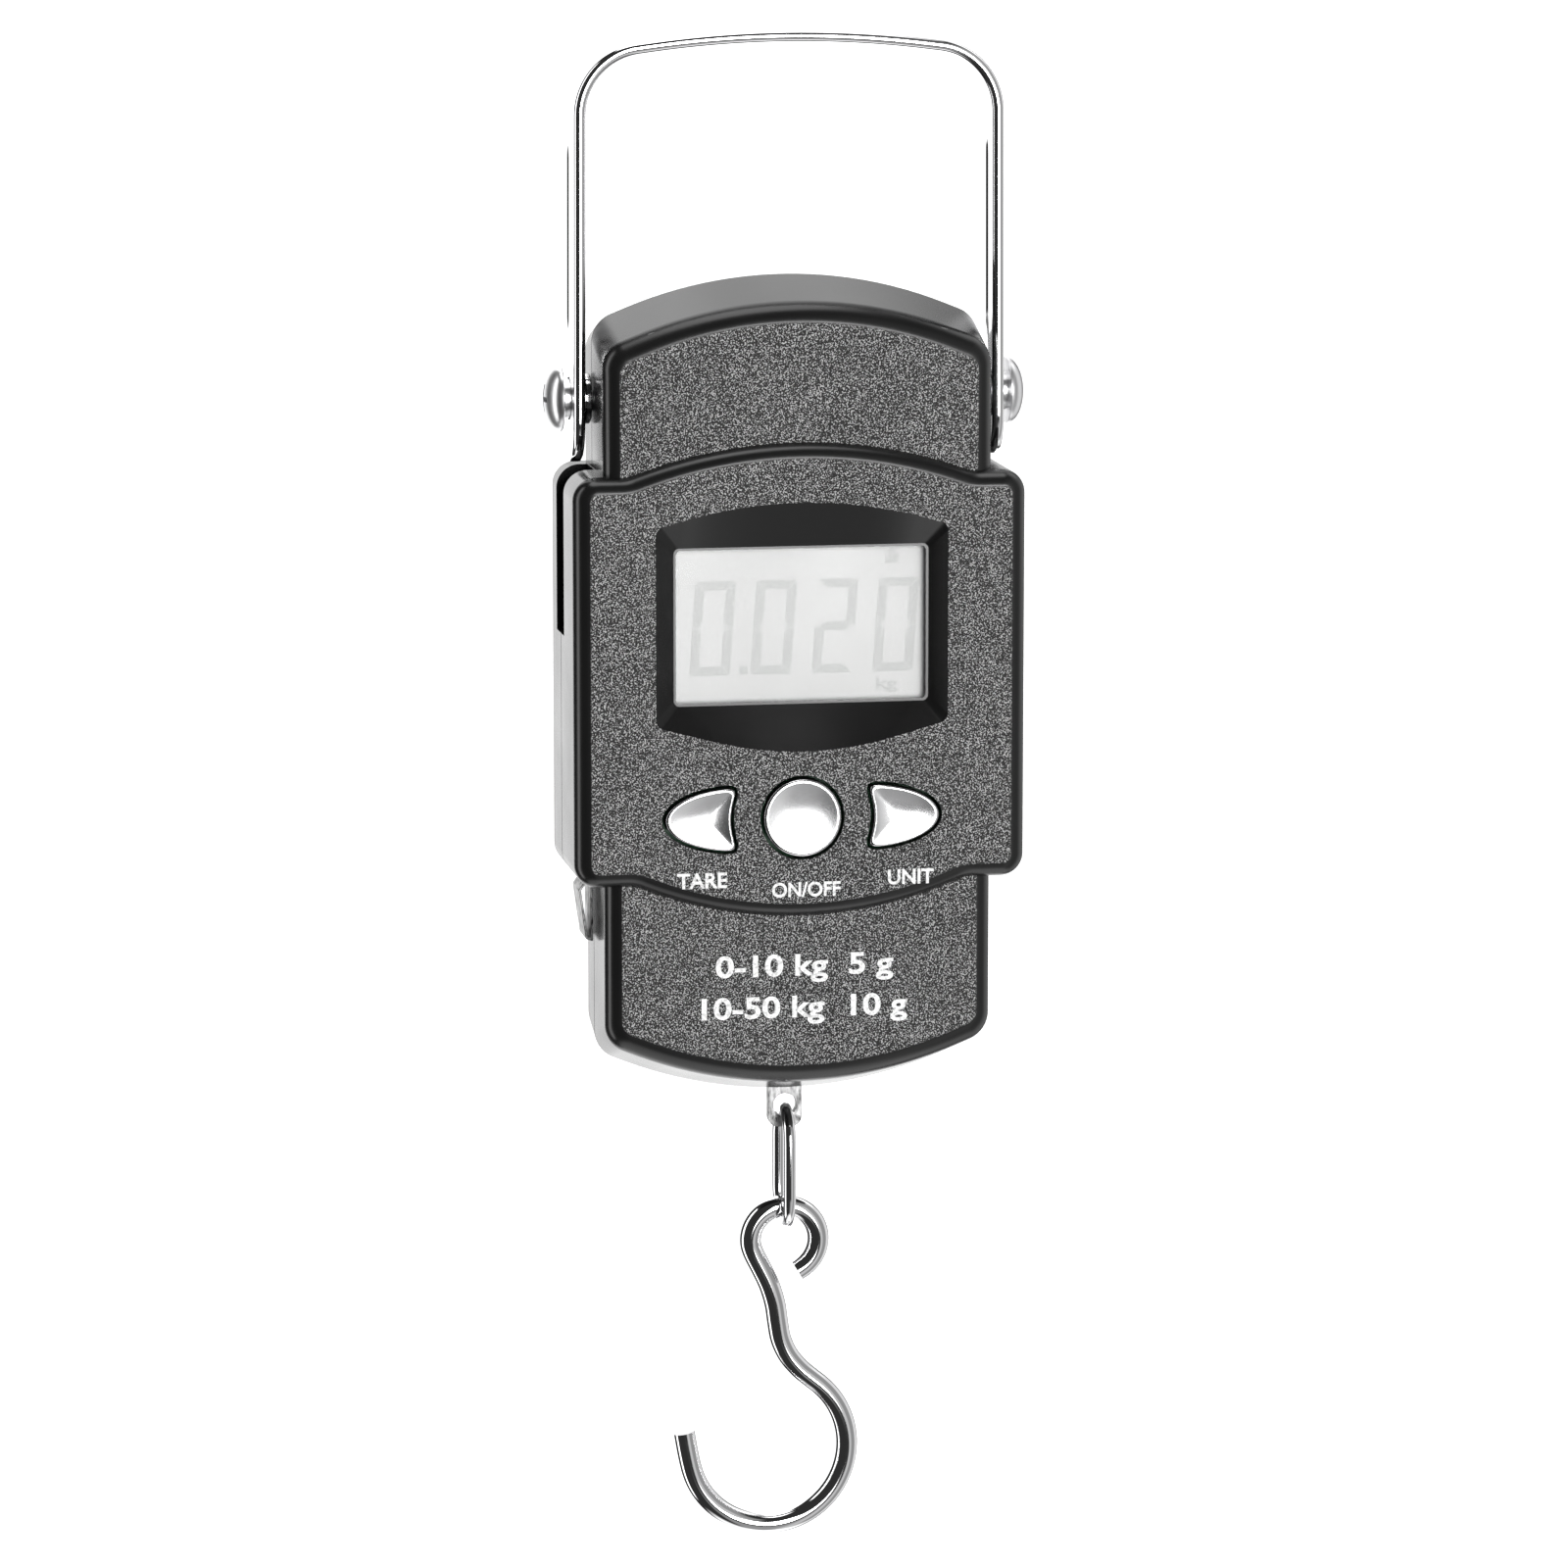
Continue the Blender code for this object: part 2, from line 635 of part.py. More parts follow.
def make_keys(looks, housing):
    wall_back = FLANGE_FRONT + FLANGE / 2
    dome = [(0.0, wall_back), (0.0, KEY_FACE + 0.8), (0.25, KEY_FACE + 0.35), (1.0, KEY_FACE + 0.1),
            (2.6, KEY_FACE)]
    power = [[place(a, b, y, "Y") for a, b in circle(0, KEY_Z, POWER_R - inset, 32)] for inset, y in dome]
    hinge = joint_empty("power_button_slide", 0, KEY_FACE, KEY_Z)
    make_key("power", (power, circle(0, KEY_Z, POWER_R + 1.3)), 0, looks, hinge, housing)
    for name, side in (("tare", -1), ("unit", 1)):
        rings = [[place(a, b, y, "Y") for a, b in leaf_outline(side, inset * 0.6)] for inset, y in dome]
        x = side * 14.6
        hinge = joint_empty(f"{name}_button_slide", x, KEY_FACE, KEY_Z)
        flange = rectangle(min(side * 9.8, side * 21.6), max(side * 9.8, side * 21.6),
                           KEY_Z - 5.2, KEY_Z + 5.2, 1.5)
        make_key(name, (rings, flange), x, looks, hinge, housing)


# ---------------------------------------------------------------- load path

def make_load_path(looks, hinge):
    half = BAR_HEIGHT / 2
    bar = solid("cross_bar", block((-BAR_HALF, -BAR_DEPTH / 2, PIVOT_Z - half),
                                   (BAR_HALF, BAR_DEPTH / 2, PIVOT_Z + half)), looks["steel"], hinge)
    tongue_low = CELL_SCREWS[1] - 4.0
    combine(bar, block((-TONGUE_HALF, -PLATE_THICK / 2, tongue_low),
                       (TONGUE_HALF, PLATE_THICK / 2, PIVOT_Z)), "UNION")
    bore = SHANK_R + GAP
    clear = CELL_SCREW_R + GAP
    reach = BAR_HALF + OVER
    holes = [turned([(bore, low), (bore, high)], 0, PIVOT_Z, "X", 16)
             for low, high in ((-reach, -SHANK_IN + GAP), (SHANK_IN - GAP, reach))]
    holes += [turned([(clear, -OVER * 2), (clear, OVER * 2)], 0, z, count=16) for z in CELL_SCREWS[:2]]
    combine(bar, joined(holes))

    cell = solid("load_cell", prism(rectangle(-CELL_HALF, CELL_HALF, CELL_BOTTOM, CELL_TOP, 0.5),
                                    CELL_FRONT, CELL_BACK), looks["aluminium"], hinge)
    mid = (CELL_TOP + CELL_BOTTOM) / 2
    waist = rectangle(-CELL_HALF + 1.2, CELL_HALF - 1.2, mid - CELL_WAIST_HALF, mid + CELL_WAIST_HALF, 4.0)
    cuts = [prism(waist, CELL_FRONT - OVER, CELL_BACK + OVER)]
    cuts += [turned([(clear, CELL_FRONT - OVER), (clear, CELL_BACK + OVER)], 0, z, count=16)
             for z in CELL_SCREWS]
    combine(cell, joined(cuts))
    for name, side in (("left", -1), ("right", 1)):
        inner = side * (CELL_HALF + 0.05)
        outer = side * (CELL_HALF + 0.25)
        film = block((min(inner, outer), 2.0, mid - GAUGE_HALF), (max(inner, outer), 6.2, mid + GAUGE_HALF))
        solid(f"strain_gauge_{name}", film, looks["gauge"], hinge)
        lead = [(side * (CELL_HALF + 0.75), 4.0, mid + 4.0), (side * (CELL_HALF + 0.75), 2.0, mid + 4.0),
                (side * 7.7, 0.0, mid + 4.4), (side * 7.4, -2.6, mid + 4.8), (side * 7.0, -5.0, mid + 5.0)]
        wire(f"gauge_lead_{name}", lead, 0.35, looks[f"lead_{name}"], hinge, sides=1)

    for number, z in enumerate(CELL_SCREWS, 1):
        front = -PLATE_THICK / 2 - GAP
        cap_front = front - 2.2
        profile = [(2.2, cap_front), (2.9, cap_front + 0.5), (2.9, front), (CELL_SCREW_R, front + 0.01),
                   (CELL_SCREW_R, CELL_BACK - 0.2)]
        screw = solid(f"load_cell_screw_{number}", turned(profile, 0, z, count=16), looks["zinc"], hinge)
        combine(screw, prism(circle(0, z, 1.4, 6), cap_front - OVER, front - 0.9))

    low = LINK_PIVOT_Z - HANGER_EYE_WALL
    neck_top, neck_low = HANGER_NECK
    right = [(HANGER_HALF, low, 1.6), (HANGER_HALF, neck_low, 1.0), (TONGUE_HALF, neck_top, 1.0),
             (TONGUE_HALF, HANGER_TOP, 1.0)]
    plate = right + [(-a, b, radius) for a, b, radius in reversed(right)]
    hanger = solid("hanger_plate", prism(rounded(plate), -PLATE_THICK / 2, PLATE_THICK / 2),
                   looks["steel"], hinge)
    eye_z = LINK_PIVOT_Z + HANGER_EYE_WALL + HANGER_EYE_R
    holes = [turned([(clear, -OVER * 2), (clear, OVER * 2)], 0, z, count=16) for z in CELL_SCREWS[2:]]
    holes.append(turned([(HANGER_EYE_R, -OVER * 2), (HANGER_EYE_R, OVER * 2)], 0, eye_z, count=20))
    combine(hanger, joined(holes))


def make_pivot_screws(looks, hinge):
    """Shoulder screws: the strap turns on the shoulder, the shank threads into the bar."""
    for name, side in (("left", -1), ("right", 1)):
        apex = HEAD_RIM + HEAD_DOME
        dome = [(0.9, apex), (2.6, apex - 0.35), (4.1, apex - 1.15), (4.9, apex - 2.0),
                (HEAD_R, HEAD_RIM + 0.3), (HEAD_R - 0.2, HEAD_RIM)]
        wall = BODY_HALF + GAP
        stem = [(SHOULDER_R, HEAD_RIM - 0.01), (SHOULDER_R, wall), (SHANK_R, wall - 0.01),
                (SHANK_R, SHANK_IN)]
        profile = [(radius, side * along) for radius, along in dome + stem]
        screw = solid(f"pivot_screw_{name}", turned(profile, 0, PIVOT_Z, "X", 28), looks["chrome"], hinge)
        low = min(side * (apex - 1.3), side * (apex + OVER))
        high = max(side * (apex - 1.3), side * (apex + OVER))
        combine(screw, block((low, -2.2, PIVOT_Z - 0.45), (high, 2.2, PIVOT_Z + 0.45)))
        combine(screw, block((low, -0.45, PIVOT_Z - 2.2), (high, 0.45, PIVOT_Z + 2.2)))
        inner = side * (BODY_HALF + GAP)
        outer = side * (STRAP_HALF_SPAN - STRAP_THICK - GAP)
        ring = solid(f"pivot_spacer_{name}", turned([(SPACER_R, inner), (SPACER_R, outer)], 0, PIVOT_Z, "X"),
                     looks["chrome"], hinge)
        bore = SHOULDER_R + GAP
        combine(ring, turned([(bore, side * (BODY_HALF - OVER)), (bore, side * (BODY_HALF + 4))],
                             0, PIVOT_Z, "X"))


def make_case_screws(looks, hinge):
    for number, (x, z) in enumerate(CASE_SCREWS, 1):
        head = CASE_HEAD_Y
        profile = [(CASE_SHANK_R * 0.6, CASE_TIP_Y), (CASE_SHANK_R, CASE_TIP_Y + 1.2),
                   (CASE_SHANK_R, head - 0.01), (CASE_HEAD_R, head), (CASE_HEAD_R, head + 1.1),
                   (1.6, head + 1.9)]
        screw = solid(f"case_screw_{number}", turned(profile, x, z, count=16), looks["zinc"], hinge)
        combine(screw, block((x - 1.5, head + 1.0, z - 0.3), (x + 1.5, head + 3, z + 0.3)))
        combine(screw, block((x - 0.3, head + 1.0, z - 1.5), (x + 0.3, head + 3, z + 1.5)))


# ---------------------------------------------------------------- link and hook

def make_link(looks, hinge):
    points = []
    reach = LINK_WIRE + LINK_HALF
    for centre_z, start in ((LINK_TOP - reach, 0), (LINK_BOTTOM + reach, 180)):
        for step in range(15):
            turn = math.radians(start + 180 * step / 14)
            points.append((0, LINK_HALF * math.cos(turn), centre_z + LINK_HALF * math.sin(turn)))
    wire("oval_link", points, LINK_WIRE, looks["chrome"], hinge, closed=True, sides=3)


def hook_points():
    """The hook's centre line: open eye, kinked neck, and a bowl that ends in a tip."""
    points = []
    for step in range(27):
        turn = math.radians(-68 + 268 * step / 26)
        points.append((HOOK_EYE_R * math.cos(turn), HOOK_EYE_R * math.sin(turn)))
    points += HOOK_NECK
    bowl_x, bowl_z = HOOK_BOWL
    for step in range(27):
        turn = math.radians(58 - 230 * step / 26)
        points.append((bowl_x + HOOK_BOWL_R * math.cos(turn), bowl_z + HOOK_BOWL_R * math.sin(turn)))
    points.append(HOOK_TIP)
    return smoothed([Vector((a, 0, HOOK_EYE_Z + b)) for a, b in points])


def smoothed(points, rounds=2):
    """Relaxes the points between the fixed ends, so that the bends run into each other."""
    for _ in range(rounds):
        middle = [(before + here * 2 + after) / 4
                  for before, here, after in zip(points, points[1:], points[2:])]
        points = [points[0]] + middle + [points[-1]]
    return points


# ---------------------------------------------------------------- batteries

def make_battery_bay(looks, hinge):
    left, right, low, high = TRAY
    tray = solid("battery_tray", prism(rectangle(left, right, low, high, 0.8), TRAY_FRONT, TRAY_BACK),
                 looks["tray"], hinge)
    wall = TRAY_WALL
    combine(tray, prism(rectangle(left + wall, right - wall, low + wall, high - wall, 0.4),
                        TRAY_FRONT + wall, TRAY_BACK + OVER))
    top_inside = high - TRAY_WALL
    low_inside = low + TRAY_WALL
    cell_low = CELL_TOP_Z - CELL_LENGTH
    for number, x in enumerate(CELL_X, 1):
        flip = number == 2
        profile = [(CELL_R - 0.5, cell_low), (CELL_R, cell_low + 0.5), (CELL_R, CELL_TOP_Z - 0.5),
                   (CELL_R - 0.5, CELL_TOP_Z), (CELL_NUB_R, CELL_TOP_Z + 0.01),
                   (CELL_NUB_R, CELL_TOP_Z + CELL_NUB)]
        if flip:
            profile = [(radius, CELL_TOP_Z + cell_low - along) for radius, along in profile]
        solid(f"battery_{number}", turned(profile, x, CELL_Y, "Z"), looks["cell"], hinge)
        # The contact spring sits at the flat end of each cell, between it and the contact.
        rest = GAP + SPRING_WIRE + 0.05
        if flip:
            start = CELL_TOP_Z + rest
            end = top_inside - GAP - CONTACT_THICK - 0.05 - rest
        else:
            start = cell_low - rest
            end = low_inside + GAP + CONTACT_THICK + 0.05 + rest
        coil = []
        for step in range(31):
            turn = 2 * math.pi * SPRING_TURNS * step / 30
            radius = 1.8 + 1.4 * step / 30
            coil.append((x + radius * math.cos(turn), CELL_Y + radius * math.sin(turn),
                         start + (end - start) * step / 30))
        wire(f"battery_spring_{number}", coil, SPRING_WIRE, looks["nickel"], hinge, sides=1)
        contact = block((x - CONTACT_HALF, CELL_Y - CONTACT_HALF, top_inside - GAP - CONTACT_THICK),
                        (x + CONTACT_HALF, CELL_Y + CONTACT_BACK, top_inside - GAP))
        solid(f"battery_contact_{number}", contact, looks["nickel"], hinge)
    bridge = block((CELL_X[0] - CONTACT_HALF, CELL_Y - CONTACT_HALF, low_inside + GAP),
                   (CELL_X[1] + CONTACT_HALF, CELL_Y + CONTACT_BACK, low_inside + GAP + CONTACT_THICK))
    solid("battery_bridge", bridge, looks["nickel"], hinge)
    board_back = BOARD_FRONT + BOARD_THICK + GAP
    for name, x in (("red", 12.0), ("black", 27.0)):
        lead = [(x, board_back + 0.3, high - 1.0), (x, -4.4, high + 1.6), (x, -3.6, high + 2.6),
                (x, -1.0, high + 3.0), (x, 1.6, high + 2.6), (x, 2.4, high + 0.6)]
        wire(f"battery_lead_{name}", smoothed([Vector(point) for point in lead], 1), 0.45,
             looks[f"lead_{name}"], hinge, sides=1)


# ---------------------------------------------------------------- tape measure

def make_tape(looks, housing):
    half = TAPE_CASE_HALF
    left, right = TAPE_X - half, TAPE_X + half
    low, high = TAPE_Z - half, TAPE_Z + half
    outline = rectangle(left, right, low, high, 3.0)
    case = solid("tape_case", prism(outline, TAPE_CASE_FRONT, TAPE_CASE_BACK), looks["frame"], housing)
    room = TAPE_DRUM_R + TAPE_CASE_WALL
    floor = TAPE_CASE_BACK - TAPE_CASE_WALL
    exit_cut = block((TAPE_BLADE_X - 0.35, -TAPE_HALF - 0.4, low - OVER),
                     (TAPE_BLADE_X + 0.75, TAPE_HALF + 0.4, TAPE_Z))
    pin = TAPE_PIN_R
    combine(case, turned([(room, TAPE_CASE_FRONT - OVER), (room, floor)], TAPE_X, TAPE_Z, count=40))
    combine(case, exit_cut)
    combine(case, turned([(pin, TAPE_CASE_FRONT + 0.5), (pin, floor + 0.4)], TAPE_X, TAPE_Z, count=16),
            "UNION")
    solid("tape_case_lid", prism(outline, TAPE_CASE_FRONT - GAP - 0.6, TAPE_CASE_FRONT - GAP),
          looks["frame"], housing)

    spin = joint_empty("tape_reel_axle", TAPE_X, 0, TAPE_Z)
    for name, inner, outer, look in (("tape_reel_hub", TAPE_HUB_R - 0.9, TAPE_HUB_R, "frame"),
                                     ("tape_coil", TAPE_HUB_R + GAP, TAPE_DRUM_R, "tape")):
        ring = solid(name, turned([(outer, -TAPE_HALF), (outer, TAPE_HALF)], TAPE_X, TAPE_Z, count=40),
                     looks[look], spin)
        reach = TAPE_HALF + OVER
        combine(ring, turned([(inner, -reach), (inner, reach)], TAPE_X, TAPE_Z, count=32))
    outer_side, inner_side = [], []
    for step in range(41):
        turn = 2 * math.pi * 2.5 * step / 40
        radius = 2.0 + 2.2 * step / 40
        for side, line in ((0.12, outer_side), (-0.12, inner_side)):
            reach = radius + side
            line.append((TAPE_X + reach * math.cos(turn), TAPE_Z + reach * math.sin(turn)))
    ribbon = outer_side + list(reversed(inner_side))
    solid("tape_spring", prism(ribbon, -2.4, 2.4), looks["nickel"], housing)

    pull = joint_empty("tape_slide", TAPE_BLADE_X, 0, TAPE_EXIT_Z)
    thick = TAPE_BLADE_THICK / 2
    solid("tape_blade", block((TAPE_BLADE_X - thick, -TAPE_HALF, TAPE_EXIT_Z + 0.2),
                              (TAPE_BLADE_X + thick, TAPE_HALF, TAPE_Z - 3.0)), looks["tape"], pull)
    top = TAPE_EXIT_Z - GAP
    tab_outer = [(-30.35, top, 0.2), (-31.3, top, 0.3), (-32.6, top - 1.9, 0.4), (-31.5, top - 9.6, 0.3),
                 (-30.35, top - 10.0, 0.2)]
    tab = solid("tape_pull_tab", prism(rounded(tab_outer), -TAB_HALF, TAB_HALF), looks["chrome"], pull)
    hollow = offset([(a, b) for a, b, _ in tab_outer], TAB_THICK)
    combine(tab, prism(hollow, -TAB_HALF - OVER, TAB_HALF + OVER))


# ---------------------------------------------------------------- assembly

def make_looks():
    """Every material, by the name that the pieces use."""
    return {
        "shell": material("shell_plastic", (0.022, 0.022, 0.023), 0.42),
        "cover": material("cover_plastic", (0.022, 0.022, 0.023), 0.42),
        "chrome": material("chrome_plate", (0.80, 0.80, 0.81), 0.08, 1.0),
        "key": material("key_chrome", (0.80, 0.80, 0.81), 0.12, 1.0),
        "steel": material("plated_steel", (0.60, 0.60, 0.60), 0.28, 1.0),
        "zinc": material("zinc_screw", (0.62, 0.62, 0.60), 0.35, 1.0),
        "aluminium": material("milled_aluminium", (0.72, 0.73, 0.74), 0.35, 1.0),
        "nickel": material("nickel_contact", (0.66, 0.64, 0.60), 0.25, 1.0),
        "lens": material("clear_lens", (0.85, 0.86, 0.86), 0.05),
        "lcd": material("lcd_glass", (0.80, 0.80, 0.80), 0.2),
        "diffuser": material("diffuser_plastic", (0.85, 0.85, 0.85), 0.5),
        "rubber": material("contact_rubber", (0.45, 0.10, 0.08), 0.7),
        "frame": material("inner_plastic", (0.012, 0.012, 0.012), 0.5),
        "board": material("board_laminate", (0.03, 0.16, 0.06), 0.4),
        "epoxy": material("chip_epoxy", (0.01, 0.01, 0.01), 0.3),
        "switch": material("switch_body", (0.05, 0.05, 0.05), 0.4),
        "gauge": material("gauge_film", (0.65, 0.42, 0.12), 0.4),
        "tray": material("tray_plastic", (0.03, 0.03, 0.03), 0.55),
        "cell": material("battery_can", (0.16, 0.17, 0.19), 0.3, 1.0),
        "tape": material("tape_blade_paint", (0.80, 0.66, 0.10), 0.4),
        "lead_left": material("lead_green", (0.05, 0.25, 0.08), 0.5),
        "lead_right": material("lead_white", (0.7, 0.7, 0.7), 0.5),
        "lead_red": material("lead_red", (0.5, 0.03, 0.02), 0.5),
        "lead_black": material("lead_black", (0.02, 0.02, 0.02), 0.5),
    }


def main():
    for item in list(bpy.data.objects):
        bpy.data.objects.remove(item, do_unlink=True)
    looks = make_looks()
    housing = joint_empty("handle_pivot", 0, 0, PIVOT_Z)
    make_handle(looks)
    make_front_shell(looks, housing)
    make_rear_shell(looks, housing)
    make_battery_cover(looks, joint_empty("battery_cover_hinge", 0, *COVER_HINGE))
    make_display(looks, housing)
    make_board(looks, housing)
    make_keys(looks, housing)
    make_load_path(looks, housing)
    make_pivot_screws(looks, housing)
    make_case_screws(looks, housing)
    make_battery_bay(looks, housing)
    make_tape(looks, housing)
    make_link(looks, joint_empty("link_pivot", 0, 0, LINK_PIVOT_Z))
    wire("hook", hook_points(), HOOK_WIRE, looks["chrome"], joint_empty("hook_pivot", 0, 0, HOOK_PIVOT_Z),
         sides=4)


main()
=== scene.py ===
"""Looks for the digital hanging scale: materials, moulded and printed detail, studio light.

Lengths are in metres, in the same frame as the CAD model: +X to the right of the
display, -Y towards the viewer, +Z up, origin at the grip of the handle. Numbers that are
multiplied by MM, and all outlines and stations, are in millimetres.
"""

import json
import math
from functools import partial

import bmesh
import bpy
from mathutils import Matrix, Vector

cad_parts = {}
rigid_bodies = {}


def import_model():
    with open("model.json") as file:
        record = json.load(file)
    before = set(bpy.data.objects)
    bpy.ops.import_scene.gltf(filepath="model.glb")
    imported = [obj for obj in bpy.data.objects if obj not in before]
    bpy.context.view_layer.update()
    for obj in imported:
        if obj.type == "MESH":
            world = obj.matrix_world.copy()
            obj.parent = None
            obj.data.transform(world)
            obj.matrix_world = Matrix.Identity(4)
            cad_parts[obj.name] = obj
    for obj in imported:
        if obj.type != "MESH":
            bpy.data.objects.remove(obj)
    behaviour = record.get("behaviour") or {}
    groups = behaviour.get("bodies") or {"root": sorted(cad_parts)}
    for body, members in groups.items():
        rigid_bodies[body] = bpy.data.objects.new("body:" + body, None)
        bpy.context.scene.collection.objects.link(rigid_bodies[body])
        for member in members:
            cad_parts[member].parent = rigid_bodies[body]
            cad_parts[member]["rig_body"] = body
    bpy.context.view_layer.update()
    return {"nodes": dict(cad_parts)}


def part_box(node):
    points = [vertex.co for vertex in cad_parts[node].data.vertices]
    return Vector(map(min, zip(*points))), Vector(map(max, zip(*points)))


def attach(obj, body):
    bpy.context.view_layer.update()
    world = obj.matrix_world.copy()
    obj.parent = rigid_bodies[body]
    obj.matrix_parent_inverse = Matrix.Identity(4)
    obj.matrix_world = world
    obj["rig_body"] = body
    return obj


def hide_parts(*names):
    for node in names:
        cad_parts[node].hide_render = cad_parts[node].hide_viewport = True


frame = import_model()
nodes = frame["nodes"]

MM = 0.001


# -------- shader helpers

def math_node(tree, kind, *entries):
    """A Math node over numbers and other nodes' outputs."""
    made = tree.nodes.new("ShaderNodeMath")
    made.operation = kind
    for socket, entry in zip(made.inputs, entries):
        if isinstance(entry, (int, float)):
            socket.default_value = entry
        else:
            tree.links.new(entry, socket)
    return made.outputs["Value"]


def step_node(tree, entry, low, high):
    """0 below low, 1 above high, smooth between; or the other way round if low > high."""
    made = tree.nodes.new("ShaderNodeMapRange")
    made.interpolation_type = "SMOOTHSTEP"
    made.inputs["From Min"].default_value = min(low, high)
    made.inputs["From Max"].default_value = max(low, high)
    made.inputs["To Min"].default_value = 0 if low < high else 1
    made.inputs["To Max"].default_value = 1 if low < high else 0
    tree.links.new(entry, made.inputs["Value"])
    return made.outputs["Result"]


class Shader:
    """A Principled material and the nodes that feed it."""

    def __init__(self, name, colour, roughness, metallic=0.0):
        self.made = bpy.data.materials.new(name)
        self.made.use_nodes = True
        self.tree = self.made.node_tree
        self.bsdf = self.tree.nodes["Principled BSDF"]
        self.set("Base Color", (*colour, 1))
        self.set("Roughness", roughness)
        self.set("Metallic", metallic)
        place = self.tree.nodes.new("ShaderNodeTexCoord")
        self.where = place.outputs["Object"]
        self.normal = place.outputs["Normal"]

    def set(self, socket, value):
        """A number or colour that is the same all over the surface."""
        self.bsdf.inputs[socket].default_value = value

    def feed(self, socket, output):
        """A number or colour that varies over the surface."""
        self.link(output, self.bsdf.inputs[socket])

    def link(self, output, target):
        self.tree.links.new(output, target)

    def noise(self, scale, detail=2.0, roughness=0.5, stretch=None, tilt=None):
        made = self.tree.nodes.new("ShaderNodeTexNoise")
        made.inputs["Scale"].default_value = scale
        made.inputs["Detail"].default_value = detail
        made.inputs["Roughness"].default_value = roughness
        self.link(self.stretched(stretch, tilt), made.inputs["Vector"])
        return made.outputs["Fac"]

    def stretched(self, stretch, tilt):
        if stretch is None and tilt is None:
            return self.where
        mapping = self.tree.nodes.new("ShaderNodeMapping")
        mapping.inputs["Scale"].default_value = stretch or (1, 1, 1)
        mapping.inputs["Rotation"].default_value = tilt or (0, 0, 0)
        self.link(self.where, mapping.inputs["Vector"])
        return mapping.outputs["Vector"]

    def ramp(self, value, stops):
        """Greys or colours at places from 0 to 1 along a value."""
        made = self.tree.nodes.new("ShaderNodeValToRGB")
        entries = made.color_ramp.elements
        while len(entries) < len(stops):
            entries.new(0.5)
        for entry, (place, shade) in zip(entries, stops):
            entry.position = place
            entry.color = (*shade, 1) if isinstance(shade, tuple) else (shade, shade, shade, 1)
        self.link(value, made.inputs["Fac"])
        return made.outputs["Color"]

    def math(self, kind, first, second):
        return math_node(self.tree, kind, first, second)

    def along_y(self, vector):
        """A vector's Y part."""
        split = self.tree.nodes.new("ShaderNodeSeparateXYZ")
        self.link(vector, split.inputs["Vector"])
        return split.outputs["Y"]

    def bump(self, height, strength, distance):
        made = self.tree.nodes.new("ShaderNodeBump")
        made.inputs["Strength"].default_value = strength
        made.inputs["Distance"].default_value = distance
        self.link(height, made.inputs["Height"])
        self.feed("Normal", made.outputs["Normal"])


# -------- materials

# The housing's outermost flat faces, as distances along Y from its middle, in metres, and
# the share of their normal that lies along Y.
HOUSING_MIDDLE_Y = -0.00305
FLATS_FROM = 0.01115
FLAT_NORMAL = (0.975, 0.995)
GRAIN_SCALE = 5000.0
GRAIN_TILT = (0.6, 0.4, 0.9)
# The grain's tones on the flats: partly the grain's own random tone, partly painted light, with
# greys and bright specks standing in for the light the grain catches.
GRAIN_AND_PAINTED_LIGHT_TONES = [(0.46, 0.0), (0.55, 0.024), (0.67, 0.47)]
# Painted shade: the round edges, sides and inner faces are coloured near black, far darker than the
# flats, because of the way they face the light.
EDGE_PAINTED_SHADE_TONE = 0.008
EDGE_ROUGH = 0.24
FLAT_ROUGHER = 0.46
HAZE_RANGE = 0.12


def shell_plastic(name):
    """Black plastic: a coarse spark-eroded grain on the flat faces, polished round edges. In its
    colour the grey flats and their bright specks are partly painted light, and the near-black round
    edges, sides and inner faces are painted shade.
    """
    look = Shader(name, (0.01, 0.01, 0.01), 0.4)
    depth = look.math("ADD", look.along_y(look.where), -HOUSING_MIDDLE_Y)
    outside = look.math("GREATER_THAN", look.math("ABSOLUTE", depth, 0), FLATS_FROM)
    straight = look.math("ABSOLUTE", look.along_y(look.normal), 0)
    flat = look.math("MULTIPLY", step_node(look.tree, straight, *FLAT_NORMAL), outside)
    grain = look.noise(GRAIN_SCALE, detail=0.0, tilt=GRAIN_TILT)
    look.bump(look.math("MULTIPLY", grain, flat), strength=0.4, distance=0.00012)
    # Painted light and shade: the flats take the lighter grain tones, and every other face takes
    # the near-black painted shade.
    mix = look.tree.nodes.new("ShaderNodeMix")
    mix.data_type = "RGBA"
    look.link(flat, mix.inputs["Factor"])
    mix.inputs["A"].default_value = (EDGE_PAINTED_SHADE_TONE, EDGE_PAINTED_SHADE_TONE, EDGE_PAINTED_SHADE_TONE, 1)
    look.link(look.ramp(grain, GRAIN_AND_PAINTED_LIGHT_TONES), mix.inputs["B"])
    look.feed("Base Color", mix.outputs["Result"])
    cloud = look.noise(70.0, detail=3.0)
    haze = look.math("MULTIPLY", look.math("SUBTRACT", cloud, 0.5), HAZE_RANGE)
    rough = look.math("ADD", look.math("MULTIPLY", flat, FLAT_ROUGHER), EDGE_ROUGH)
    look.feed("Roughness", look.math("ADD", rough, haze))
    return look.made


def smooth_black(name, base, rough):
    """Polished part of the mould: nearly even, with faint flow marks."""
    look = Shader(name, (base, base, base), rough)
    flow = look.noise(150.0, detail=4.0, stretch=(1, 1, 0.25))
    look.feed("Roughness", look.ramp(flow, [(0.35, rough - 0.05), (0.7, rough + 0.06)]))
    look.bump(look.noise(900.0), strength=0.12, distance=0.00004)
    return look.made


def chrome(name, base, rough, wear):
    """Bright chrome plate: a faint orange-peel ripple and thin handling haze."""
    look = Shader(name, (base, base, base * 1.01), rough, metallic=1.0)
    haze = look.noise(220.0, detail=5.0, roughness=0.65)
    look.feed("Roughness", look.ramp(haze, [(0.45, rough), (0.75, rough + wear)]))
    look.bump(look.noise(420.0), strength=0.04, distance=0.00005)
    return look.made


